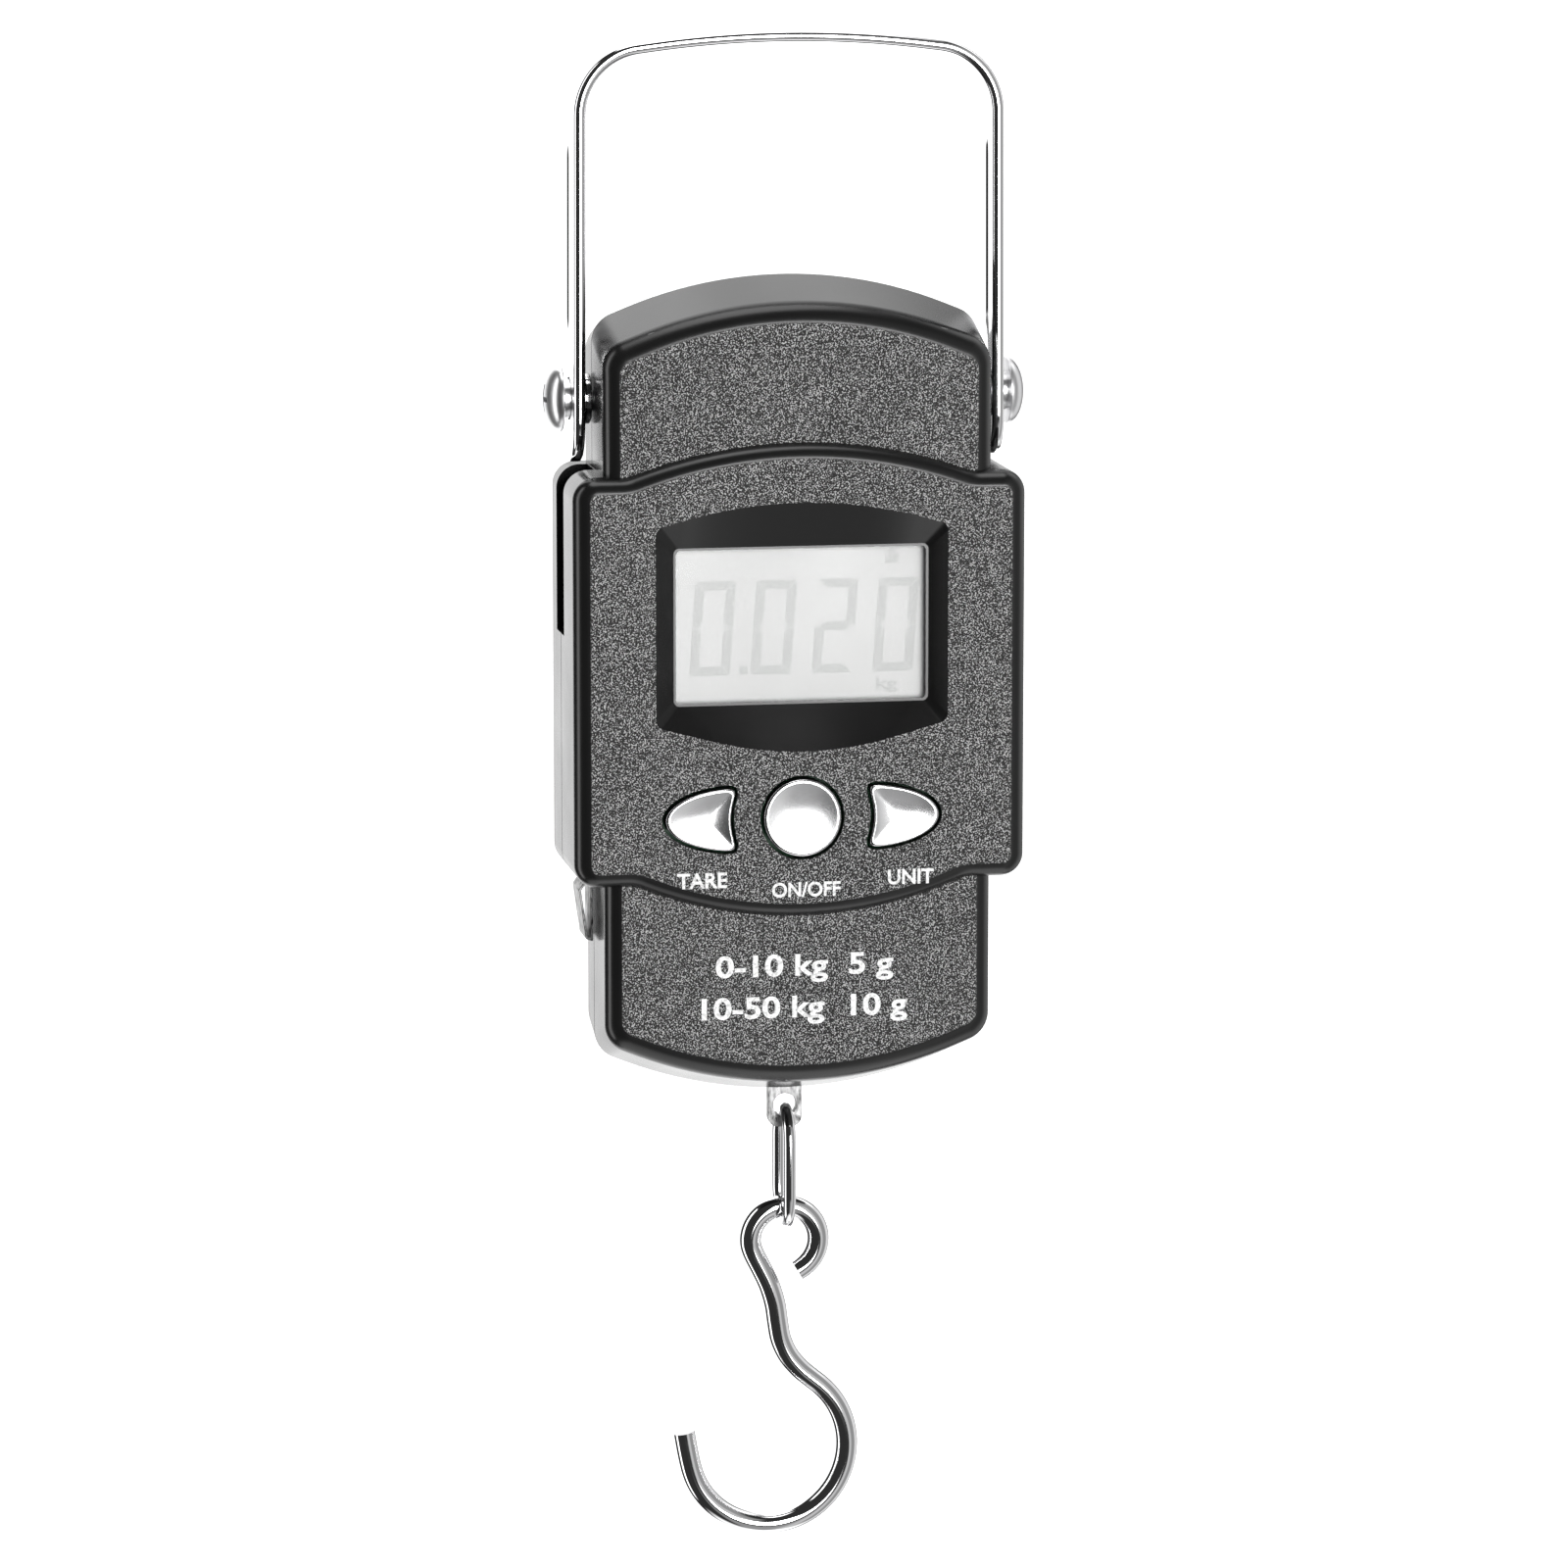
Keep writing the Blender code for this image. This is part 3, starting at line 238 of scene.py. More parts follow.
def handled_plate(name):
    """Cheaply plated stamped steel: cloudy, with scuffs down its length."""
    look = Shader(name, (0.16, 0.16, 0.16), 0.3, metallic=1.0)
    scuffs = look.noise(1100.0, detail=4.0, roughness=0.7, stretch=(1, 1, 0.35))
    look.feed("Base Color", look.ramp(scuffs, [(0.34, 0.02), (0.46, 0.16), (0.62, 0.27)]))
    look.feed("Roughness", look.ramp(scuffs, [(0.35, 0.42), (0.7, 0.24)]))
    look.bump(scuffs, strength=0.25, distance=0.00005)
    return look.made


def drawn_metal(name, base, rough, stretch):
    """Plated or milled metal with fine lines along its length."""
    look = Shader(name, base, rough, metallic=1.0)
    lines = look.noise(1500.0, detail=3.0, stretch=stretch)
    look.feed("Roughness", look.ramp(lines, [(0.35, rough - 0.08), (0.7, rough + 0.1)]))
    look.bump(lines, strength=0.12, distance=0.00003)
    return look.made


def plain_plastic(name, base, rough):
    """Moulded or painted parts: a fine tooth in their gloss and surface."""
    look = Shader(name, base, rough)
    fine = look.noise(1400.0, detail=3.0)
    look.feed("Roughness", look.ramp(fine, [(0.3, rough - 0.05), (0.7, rough + 0.08)]))
    look.bump(fine, strength=0.15, distance=0.00003)
    return look.made


def lens_clear(name):
    """The clear window: hardly there but for its reflections and a little dust."""
    look = Shader(name, (0.9, 0.9, 0.9), 0.03)
    look.set("Alpha", 0.08)
    dust = look.noise(300.0, detail=5.0, roughness=0.7)
    look.feed("Roughness", look.ramp(dust, [(0.6, 0.0), (0.85, 0.02)]))
    return look.made


def lcd_grey(name, low, middle, high, roughness):
    """A pale, faintly green grey with the very faint grain of the panel's diffuser."""
    def tint(tone):
        return (tone, tone + 0.005, tone)

    look = Shader(name, tint(middle), roughness)
    grain = look.noise(2600.0)
    look.feed("Base Color", look.ramp(grain, [(0.3, tint(low)), (0.7, tint(high))]))
    return look


def lcd_glass(name):
    """The reflective panel."""
    look = lcd_grey(name, 0.57, 0.58, 0.60, 0.38)
    look.feed("Roughness", look.ramp(look.noise(90.0), [(0.3, 0.30), (0.7, 0.42)]))
    return look.made


def lcd_ink(name):
    """A liquid-crystal segment: only a little darker than the panel behind it."""
    return lcd_grey(name, 0.455, 0.465, 0.475, 0.4).made


def white_ink(name):
    """Printed lettering, thin enough for the grain below to show as specks."""
    look = Shader(name, (0.9, 0.9, 0.9), 0.5)
    tooth = look.noise(2400.0)
    look.feed("Base Color", look.ramp(tooth, [(0.38, 0.62), (0.5, 0.95)]))
    look.bump(tooth, strength=0.5, distance=0.00008)
    return look.made


# One material for each kind of finish, and the finish of every CAD node; the rest are steel.
LOOKS = {
    "shell": shell_plastic("grained_shell_painted_shade"),
    "screw": chrome("screw_chrome", 0.80, 0.30, 0.06),
    "plate": handled_plate("plate_chrome"),
    "smooth": smooth_black("smooth_black", 0.012, 0.28),
    "chrome": chrome("bright_chrome", 0.88, 0.05, 0.05),
    "key": chrome("key_chrome", 0.90, 0.20, 0.05),
    "steel": drawn_metal("plated_steel", (0.62, 0.62, 0.63), 0.28, (1, 1, 0.08)),
    "zinc": drawn_metal("zinc_screw", (0.60, 0.60, 0.58), 0.34, (1, 0.2, 1)),
    "aluminium": drawn_metal("milled_aluminium", (0.78, 0.79, 0.80), 0.30, (0.1, 1, 1)),
    "nickel": drawn_metal("nickel_contact", (0.74, 0.70, 0.62), 0.22, (1, 0.2, 1)),
    "lens": lens_clear("clear_lens"),
    "lcd": lcd_glass("lcd_glass"),
    "lcd_ink": lcd_ink("lcd_segment"),
    "diffuser": plain_plastic("milky_diffuser", (0.72, 0.74, 0.74), 0.45),
    "rubber": plain_plastic("contact_rubber", (0.05, 0.05, 0.055), 0.75),
    "inner": plain_plastic("inner_plastic", (0.02, 0.02, 0.021), 0.5),
    "board": plain_plastic("solder_mask", (0.02, 0.16, 0.06), 0.35),
    "epoxy": plain_plastic("chip_epoxy", (0.012, 0.012, 0.012), 0.55),
    "gauge": plain_plastic("gauge_film", (0.66, 0.42, 0.12), 0.35),
    "battery": drawn_metal("battery_can", (0.30, 0.32, 0.36), 0.3, (1, 1, 0.05)),
    "tape": plain_plastic("tape_paint", (0.80, 0.72, 0.18), 0.4),
    "red": plain_plastic("red_sheath", (0.45, 0.02, 0.015), 0.4),
    "black": plain_plastic("black_sheath", (0.02, 0.02, 0.02), 0.4),
    "green": plain_plastic("green_sheath", (0.04, 0.22, 0.07), 0.4),
    "white": plain_plastic("white_sheath", (0.7, 0.7, 0.7), 0.4),
    "ink": white_ink("white_ink"),
}

NODES_WITH = {
    "shell": ["front_shell", "rear_shell", "battery_cover"],
    "chrome": ["handle_strap", "hook", "oval_link", "hanger_plate", "tape_pull_tab",
               "pivot_screw_left", "pivot_screw_right", "pivot_spacer_left", "pivot_spacer_right"],
    "key": ["power_button", "tare_button", "unit_button"],
    "inner": ["power_plunger", "tare_plunger", "unit_plunger", "lcd_frame", "battery_tray",
              "tape_case", "tape_case_lid", "tape_reel_hub"],
    "lens": ["display_lens"], "lcd": ["lcd_panel"], "diffuser": ["lcd_backlight"],
    "rubber": ["zebra_strip"], "board": ["circuit_board"], "epoxy": ["controller_chip"],
    "aluminium": ["load_cell"], "gauge": ["strain_gauge_left", "strain_gauge_right"],
    "green": ["gauge_lead_left"], "white": ["gauge_lead_right"],
    "battery": ["battery_1", "battery_2"], "black": ["battery_lead_black"],
    "red": ["battery_lead_red"], "tape": ["tape_blade", "tape_coil"],
    "nickel": ["battery_spring_1", "battery_spring_2", "battery_bridge",
               "battery_contact_1", "battery_contact_2"],
    "zinc": [f"{kind}_screw_{index}" for kind in ("case", "load_cell") for index in range(1, 5)],
}
NODE_LOOKS = {node: look for look, group in NODES_WITH.items() for node in group}


# -------- piece helpers

# How finely round things are divided, and the angles, in degrees, from which edges between
# faces stay sharp or are rounded off.
TURN_COUNT = 72
ROUND_COUNT = 48
CURVE_PARTS = 5
WIRE_PARTS = 10
FINE_SEGMENTS = 2
FINE_SMOOTH = 30
FINE_ROUNDED = 38
CARVED_SHARP = 40


def dress(piece, look):
    """Gives a piece one material all over."""
    piece.data.materials.clear()
    piece.data.materials.append(LOOKS[look])


def body_of(node):
    """The CAD body that a node is on."""
    return nodes[node]["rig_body"]


def add(name, mesh, look, body, node=None):
    """Puts a finished mesh or curve into the scene, on its body, in place of a CAD node."""
    piece = bpy.data.objects.new(name, mesh)
    bpy.context.scene.collection.objects.link(piece)
    dress(piece, look)
    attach(piece, body)
    if node:
        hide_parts(node)
    return piece


def released(name, shape):
    """A bmesh turned into a mesh of that name, and freed."""
    mesh = bpy.data.meshes.new(name)
    shape.to_mesh(mesh)
    shape.free()
    return mesh


def smoothed(mesh, angle):
    """The mesh shaded smooth, but for the edges sharper than an angle in degrees."""
    mesh.shade_smooth()
    mesh.set_sharp_from_angle(angle=math.radians(angle))
    return mesh


def as_mesh(name, shape, smooth):
    """A finished bmesh as a smooth-shaded mesh."""
    return smoothed(released(name, shape), smooth)


def flat_first(piece):
    """Large flat faces keep their own shading, and the round edges between them stay smooth."""
    weighted = piece.modifiers.new("flat_first", "WEIGHTED_NORMAL")
    weighted.mode = "FACE_AREA"
    weighted.weight = 100
    weighted.keep_sharp = True


def refined(node, look, width):
    """A welded copy of a CAD solid, with its sharp edges rounded and its curves smooth."""
    shape = bmesh.new()
    shape.from_mesh(nodes[node].data)
    bmesh.ops.remove_doubles(shape, verts=shape.verts, dist=1e-6)
    bmesh.ops.dissolve_limit(shape, angle_limit=math.radians(1),
                             verts=shape.verts, edges=shape.edges)
    sharp = [edge for edge in shape.edges if len(edge.link_faces) == 2
             and edge.calc_face_angle(0) > math.radians(FINE_ROUNDED)]
    bmesh.ops.bevel(shape, geom=sharp, offset=width * MM, offset_type="WIDTH", profile=0.5,
                    segments=FINE_SEGMENTS, affect="EDGES", clamp_overlap=True)
    bmesh.ops.triangulate(shape, faces=[face for face in shape.faces if len(face.verts) > 4])
    name = f"{node}_fine"
    flat_first(add(name, as_mesh(name, shape, FINE_SMOOTH), look, body_of(node), node))


def built(name, shape, steps, smooth):
    """The mesh of a shape after a list of ("UNION" or "DIFFERENCE", other shape) steps."""
    holders = []
    for part in [shape] + [tool for _, tool in steps]:
        holder = bpy.data.objects.new(name, released(name, part))
        bpy.context.scene.collection.objects.link(holder)
        holders.append(holder)
    for (operation, _), holder in zip(steps, holders[1:]):
        change = holders[0].modifiers.new(operation, "BOOLEAN")
        change.operation = operation
        change.object = holder
        change.solver = "EXACT"
    bpy.context.view_layer.update()
    result = holders[0].evaluated_get(bpy.context.evaluated_depsgraph_get())
    mesh = bpy.data.meshes.new_from_object(result)
    for holder in holders:
        bpy.data.objects.remove(holder)
    return smoothed(mesh, smooth)


def carved(name, shape, tool):
    """The mesh of a shape with another cut out of it."""
    return built(name, shape, [("DIFFERENCE", tool)], CARVED_SHARP)


def loft(rings):
    """Faces between rings of equal length, and over the two ends."""
    shape = bmesh.new()
    loops = [[shape.verts.new(Vector(point) * MM) for point in ring] for ring in rings]
    for near, far in zip(loops, loops[1:]):
        for index in range(len(near)):
            around = (index + 1) % len(near)
            shape.faces.new((near[index], near[around], far[around], far[index]))
    shape.faces.new(loops[0])
    shape.faces.new(list(reversed(loops[-1])))
    bmesh.ops.recalc_face_normals(shape, faces=shape.faces)
    return shape


def box_shape(low, high):
    """A block from its lowest corner to its highest."""
    (left, front, bottom), (right, back, top) = low, high
    corners = [(left, front), (right, front), (right, back), (left, back)]
    return loft([[(x, y, z) for x, y in corners] for z in (bottom, top)])


def circle(radius, count):
    """Points round a circle about the origin."""
    turns = [2 * math.pi * step / count for step in range(count)]
    return [(radius * math.cos(turn), radius * math.sin(turn)) for turn in turns]


def arc(centre, radius, start, sweep, count):
    """Points of an arc, its angles in degrees."""
    turns = [math.radians(start + sweep * step / count) for step in range(count + 1)]
    return [(centre[0] + radius * math.cos(turn), centre[1] + radius * math.sin(turn))
            for turn in turns]


def lathe(profile, height, side):
    """A solid of revolution about the pivot axis, through (radius, along) stations."""
    return loft([[(side * along, a, height + b) for a, b in circle(radius, TURN_COUNT)]
                 for radius, along in profile])


def turned(profile, x, z, count=ROUND_COUNT):
    """A solid of revolution about a line along Y, through (radius, depth) stations."""
    return loft([[(x + a, y, z + b) for a, b in circle(radius, count)]
                 for radius, y in profile])


def prism(outline, low, high):
    """A solid with the same outline from one depth to another."""
    return loft([[(a, y, b) for a, b in outline] for y in (low, high)])


def join(shapes):
    """One shape out of several that stay apart."""
    whole = bmesh.new()
    for shape in shapes:
        mesh = released("part", shape)
        whole.from_mesh(mesh)
        bpy.data.meshes.remove(mesh)
    return whole


def through(points):
    """Points on the smooth curve that passes through the given ones."""
    made = []
    last = len(points) - 1
    for index in range(last):
        a, b, c, d = (Vector(points[min(max(index + shift, 0), last)])
                      for shift in (-1, 0, 1, 2))
        for part in range(CURVE_PARTS):
            t = part / CURVE_PARTS
            made.append(0.5 * (2 * b + (c - a) * t + (2 * a - 5 * b + 4 * c - d) * t * t
                               + (3 * b - a - 3 * c + d) * t ** 3))
    return made + [Vector(points[-1])]


def wire(points, radius, closed=False):
    """A smooth bent round wire."""
    curve = bpy.data.curves.new("wire", "CURVE")
    curve.dimensions = "3D"
    curve.bevel_depth = radius * MM
    curve.bevel_resolution = WIRE_PARTS
    curve.use_fill_caps = True
    spline = curve.splines.new("POLY")
    spline.points.add(len(points) - 1)
    for knot, point in zip(spline.points, points):
        knot.co = (*(Vector(point) * MM), 1)
    spline.use_cyclic_u = closed
    return curve


# -------- hook and link

# The hook's centre line, from the middle of its eye: eye, neck, bowl and tip.
HOOK_WIRE = 1.7
HOOK_EYE_R = 5.45
HOOK_NECK = [(-3.9, -4.2), (-2.0, -7.2), (-1.15, -10.2), (-1.1, -13.2), (-1.0, -16.0),
             (-0.1, -18.7), (2.9, -21.6)]
HOOK_BOWL = (-2.6, -33.1)
HOOK_BOWL_R = 12.7
HOOK_TIP = (-15.9, -30.3)
HOOK_ARC_STEPS = 26
LINK_WIRE = 0.95
LINK_BEND_R = 5.25
LINK_ARC_STEPS = 32


def make_hook():
    """The same centre line as the CAD hook, as one smooth curve."""
    eye_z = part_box("hook")[1].z / MM - HOOK_WIRE - HOOK_EYE_R
    points = arc((0, 0), HOOK_EYE_R, -68, 268, HOOK_ARC_STEPS) + HOOK_NECK
    points += arc(HOOK_BOWL, HOOK_BOWL_R, 58, -230, HOOK_ARC_STEPS) + [HOOK_TIP]
    for _ in range(2):
        middle = [tuple((Vector(a) + Vector(b) * 2 + Vector(c)) / 4)
                  for a, b, c in zip(points, points[1:], points[2:])]
        points = [points[0]] + middle + [points[-1]]
    line = through([(a, 0, eye_z + b) for a, b in points])
    add("hook_wire", wire(line, HOOK_WIRE), "chrome", "hook", "hook")


def make_link():
    """A long loop of wire: two half circles joined by straight sides."""
    low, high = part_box("oval_link")
    reach = LINK_WIRE + LINK_BEND_R
    points = [(0, y, z) for centre_z, start in ((high.z / MM - reach, 0), (low.z / MM + reach, 180))
              for y, z in arc((0, centre_z), LINK_BEND_R, start, 180, LINK_ARC_STEPS)]
    add("link_wire", wire(points, LINK_WIRE, closed=True), "chrome", "link", "oval_link")


# -------- handle and pivots

# Pivot screws: a domed head with a cross recess, a shoulder for the strap, and a thread.
PIVOT_Z = -54.0
PIVOT_BORE_R = 3.3
PAST_SIDES = 36
HEAD_R = 5.15
HEAD_DOME = 2.6
HEAD_TURNS = (1, 8, 16, 24, 32, 40, 48, 56, 64, 71, 77, 83, 89)
HEAD_RIM = ((5.05, 0.08), (4.9, 0.1), (3.0, 0.1))
SHANK = [(3.0, 30.2), (2.0, 30.2), (2.0, 19.0)]
RECESS_REACH = 2.2
RECESS_HALF = 0.4
RECESS_DEEP = 1.3
RECESS_GAP = 0.01
SPACER_R = 4.0
SPACER_ROUND = 0.2


def screw_recess(apex, side):
    """The cross cut into a screw's head: one bar across it, and one above and below."""
    left, right = sorted((side * (apex + 1), side * (apex - RECESS_DEEP)))
    reach, half = RECESS_REACH, RECESS_HALF
    start = half + RECESS_GAP
    return join([
        box_shape((left, -reach, PIVOT_Z - half), (right, reach, PIVOT_Z + half)),
        box_shape((left, -half, PIVOT_Z - reach), (right, half, PIVOT_Z - start)),
        box_shape((left, -half, PIVOT_Z + start), (right, half, PIVOT_Z + reach)),
    ])


def make_pivots():
    """The screws that the handle swings on, and the spacers between it and the housing."""
    for name, side in (("left", -1), ("right", 1)):
        low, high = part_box(f"pivot_screw_{name}")
        apex = max(abs(low.x), abs(high.x)) / MM
        profile = []
        for degrees in HEAD_TURNS:
            turn = math.radians(degrees)
            profile.append((HEAD_R * math.sin(turn), apex - HEAD_DOME * (1 - math.cos(turn))))
        profile += [(radius, apex - HEAD_DOME - drop) for radius, drop in HEAD_RIM] + SHANK
        mesh = carved("screw", lathe(profile, PIVOT_Z, side), screw_recess(apex, side))
        add(f"pivot_screw_{name}_fine", mesh, "screw", "housing", f"pivot_screw_{name}")
        low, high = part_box(f"pivot_spacer_{name}")
        inner, outer = sorted((abs(low.x) / MM, abs(high.x) / MM))
        small = SPACER_R - SPACER_ROUND
        rim = [(small, outer), (SPACER_R, outer - SPACER_ROUND),
               (SPACER_R, inner + SPACER_ROUND), (small, inner)]
        bore = lathe([(PIVOT_BORE_R, outer + 1), (PIVOT_BORE_R, inner - 1)], PIVOT_Z, side)
        mesh = carved("spacer", lathe(rim, PIVOT_Z, side), bore)
        add(f"pivot_spacer_{name}_fine", mesh, "chrome", "housing", f"pivot_spacer_{name}")


# Strap: the handle's line seen from the front, its rolled edges, and the long shallow
# presses in its legs.
STRAP_WIDTH = 12.0
STRAP_THICK = 1.8
STRAP_EDGE = 0.85
STRAP_HALF = 33.3
STRAP_FOOT_Z = -63.6
STRAP_SHOULDER = (33.0, -1.1)
STRAP_CORNER_R = 11.0
STRAP_SLOPE = 7.4
LEG_STEPS = 40
LEG_SHARE = 0.82
BEND_STEPS = 24
FACE_STEPS = 24
ROLL_STEPS = 10
THINNEST = 0.02
RIB_TOP = -14.0
RIB_BOTTOM = -45.0
RIB_FADE = 2
RIB_HALF = 2.5
RIB_SIDE = 1.2
RIB_DEPTH = 0.27
LEGS_FROM_X = 30


def smooth_step(value, low, high):
    """0 below low, 1 above high, smooth between."""
    share = min(1, max(0, (value - low) / (high - low)))
    return share * share * (3 - 2 * share)


def bend(before, corner, after, radius, count):
    """Points of the arc that rounds the corner between two sides."""
    into = (corner - before).normalized()
    out = (after - corner).normalized()
    turn = into.angle_signed(out) * -1
    start = corner - into * radius * math.tan(abs(turn) / 2)
    centre = start + Vector((-into.y, into.x)) * math.copysign(radius, turn)
    made = []
    for step in range(count + 1):
        spoke = start - centre
        spoke.rotate(Matrix.Rotation(turn * step / count, 2))
        made.append(centre + spoke)
    return made


def strap_line():
    """The strap's outer line from the right foot, over the top, to the left foot."""
    shoulder = Vector(STRAP_SHOULDER)
    slope = math.radians(STRAP_SLOPE)
    peak = Vector((0, shoulder.y + shoulder.x * math.tan(slope)))
    crown_r = (peak.y - STRAP_THICK) / (1 / math.cos(slope) - 1)
    foot = Vector((STRAP_HALF, STRAP_FOOT_Z))
    leg = [foot.lerp(shoulder, step / LEG_STEPS * LEG_SHARE) for step in range(LEG_STEPS)]
    corner = bend(foot, shoulder, peak, STRAP_CORNER_R, BEND_STEPS)
    crown = bend(shoulder, peak, Vector((-shoulder.x, shoulder.y)), crown_r, BEND_STEPS)
    right = leg + corner
    return right + crown + [Vector((-point.x, point.y)) for point in reversed(right)]


def strap_section(half_width):
    """(across the width, through the thickness) points round the strap, with rolled edges."""
    middle = -STRAP_THICK / 2
    flat = max(THINNEST, half_width - STRAP_EDGE)
    ring = []
    for side in (1, -1):
        face = 0.0 if side > 0 else -STRAP_THICK
        ring += [(flat * (1 - 2 * step / FACE_STEPS) * side, face)
                 for step in range(FACE_STEPS + 1)]
        for step in range(1, ROLL_STEPS):
            turn = math.radians(180 * step / ROLL_STEPS)
            lift = STRAP_EDGE * math.cos(turn)
            centre = middle
            if abs(lift) >= 0.01:
                centre += math.copysign(STRAP_THICK / 2 - STRAP_EDGE, lift) * side
            ring.append((-side * (flat + STRAP_EDGE * math.sin(turn)), centre + lift * side))
    return ring


def make_strap():
    """The section swept along the line; its feet are round, about the pivots."""
    line = strap_line()
    foot_r = STRAP_WIDTH / 2
    rings = []
    for index, here in enumerate(line):
        before = line[max(index - 1, 0)]
        after = line[min(index + 1, len(line) - 1)]
        along = (after - before).normalized()
        outward = Vector((along.y, -along.x))
        rise = here.y - STRAP_FOOT_Z
        half_width = foot_r
        if rise <= foot_r:
            half_width = math.sqrt(max(0.3, foot_r ** 2 - (foot_r - rise) ** 2))
        press = 0
        if abs(here.x) >= LEGS_FROM_X:
            press = smooth_step(here.y, RIB_BOTTOM, RIB_BOTTOM + RIB_FADE)
            press *= RIB_DEPTH * (1 - smooth_step(here.y, RIB_TOP - RIB_FADE, RIB_TOP))
        ring = []
        for across, through_it in strap_section(half_width):
            dip = press * (1 - smooth_step(abs(across), RIB_HALF - RIB_SIDE, RIB_HALF))
            spot = here + outward * (through_it - dip)
            ring.append((spot.x, across, spot.y))
        rings.append(ring)
    hole = lathe([(PIVOT_BORE_R, PAST_SIDES), (PIVOT_BORE_R, -PAST_SIDES)], PIVOT_Z, 1)
    mesh = carved("strap", loft(rings), hole)
    add("handle_strap_fine", mesh, "chrome", "handle", "handle_strap")


# -------- keys

KEY_Z = -117.0
KEY_FACE = -16.9
KEY_R = 6.0
KEY_SPACING = 14.9
KEY_DISH = 0.52
KEY_COUNT = 72
KEY_SHARP = 50
LEAF_TIP = 21.2
LEAF_HALF = 4.9
LEAF_HOLLOW_R = 11.1
LEAF_TIP_STEPS = 40
LEAF_HOLLOW_STEPS = 12
# (share of the outline, depth behind the face) down to the rim and over it, to the dish.
CAP_RIM = [(1.0, 3.2), (1.0, 0.45), (0.992, 0.26), (0.972, 0.11), (0.945, 0.03), (0.915, 0.0)]
DISH_SHARE = 0.885
DISH_EDGE = 0.03
DISH_STEPS = 14


def leaf_outline(side):
    """A side key: half an ellipse outside, hollow beside the round key, corners softened."""
    corner = math.asin(LEAF_HALF / LEAF_HOLLOW_R)
    root = LEAF_HOLLOW_R * math.cos(corner)
    points = []
    for step in range(LEAF_TIP_STEPS + 1):
        turn = math.pi * (step / LEAF_TIP_STEPS - 0.5)
        points.append((root + (LEAF_TIP - root) * math.cos(turn), LEAF_HALF * math.sin(turn)))
    for step in range(1, LEAF_HOLLOW_STEPS):
        turn = corner * (1 - 2 * step / LEAF_HOLLOW_STEPS)
        points.append((LEAF_HOLLOW_R * math.cos(turn), LEAF_HOLLOW_R * math.sin(turn)))
    soft = [Vector(point) for point in points]
    for _ in range(3):
        soft = [(soft[index - 1] + here * 2 + soft[(index + 1) % len(soft)]) / 4
                for index, here in enumerate(soft)]
    return [(side * point.x, point.y) for point in soft]


def key_cap(outline, centre):
    """A plated key cap: straight sides, a rolled rim, and a dished top."""
    stations = CAP_RIM + [(DISH_SHARE, DISH_EDGE)]
    for step in range(1, DISH_STEPS):
        share = DISH_SHARE * (1 - step / DISH_STEPS)
        stations.append((share, DISH_EDGE + KEY_DISH * (1 - (share / DISH_SHARE) ** 2)))
    return loft([[(centre + (a - centre) * share, KEY_FACE + depth, KEY_Z + b * share)
                  for a, b in outline] for share, depth in stations])


def make_keys():
    """The round key in the middle and a leaf-shaped one on either side."""
    keys = [("power", circle(KEY_R, KEY_COUNT), 0), ("tare", leaf_outline(-1), -KEY_SPACING),
            ("unit", leaf_outline(1), KEY_SPACING)]
    for name, outline, centre in keys:
        node = f"{name}_button"
        mesh = as_mesh("cap", key_cap(outline, centre), KEY_SHARP)
        add(f"{name}_key_cap", mesh, "key", body_of(node), node)


# -------- housing shells

# Clearance between neighbours, how far a cutter reaches past what it cuts, a hair's breadth
# that keeps faces from lying in one plane, and the shells' walls and outer edges.
GAP = 0.3
OVER = 1.0
HAIR = 0.01
WALL = 2.0
EDGE = 2.9
EDGE_STEPS = 10
ARC_STEPS = 12
LARGE_R = 20
SHARPEST = 0.3
SEAM_Y = -1.0
SEAM_GAP = 0.3
# The slim body and the wider band across its middle.
BODY = {"half": 29.9, "front": -14.4, "rear": 8.3, "top": -35.4, "bottom": -162.1,
        "drop": 6.9, "arch": 22.0, "corner": 4.6, "slope": 0.29}
# "upper" and "lower" are (x, z, degrees) where the band's flat shoulder turns into its arch.
BAND = {"half": 34.8, "front": -16.4, "rear": 10.5, "top": -59.6, "bottom": -132.7,
        "upper": (26.6, -64.5, 20.0), "lower": (25.6, -127.35, 22.0), "corner": 3.6, "blend": 6.0}
BEZEL = {"half": 22.5, "high": -72.3, "crown": -68.7, "low": -102.6, "keel": -106.8,
         "corner": 1.5, "slope": 15.0, "floor": -13.6, "back": -12.9, "ledge": 0.35, "reach": 0.8}
# Rectangles as (left, right, low, high), with the radii of their corners.
BEZEL_BACKING = (-22.5, 22.5, -104.1, -70.8)
WINDOW = (-19.0, 19.6, -99.5, -76.0)
WINDOW_CORNER = 0.8
LEDGE_CORNER = 0.9
COVER = (9.9, 30.9, -121.0, -73.0)
COVER_CORNER = 1.2
CASE_SCREWS = ((-21.5, -45.8), (21.5, -45.8), (-21.5, -148.0), (21.5, -148.0))
SCREW_R = 1.5
SCREW_HEAD_R = 2.7
SCREW_HEAD_Y = 3.0
SCREW_TIP_Y = -9.6
FRONT_POST_R = 3.0
REAR_POST_R = 3.8
PIVOT_OPENING_R = 2.3
# What else passes through the walls, as (lowest corner, highest corner): the tape case's
# slot, the tape's mouth, and the notch for the hanger plate.
WALL_OPENINGS = [
    ((-36, -4.4, -89.9), (-30, 3.3, -59.6)),
    ((-31.95, -3.6, -128.35), (-30.2, 3.6, -124.35)),
    ((-3.15, -1.3, -163.1), (3.15, 1.3, -159.1)),
]
LIP_FROM = 0.5
LIP_TO = 1.5
KEY_GAP = 0.5
KEY_HOLE_COUNT = 96
SHELL_SHARP = 15


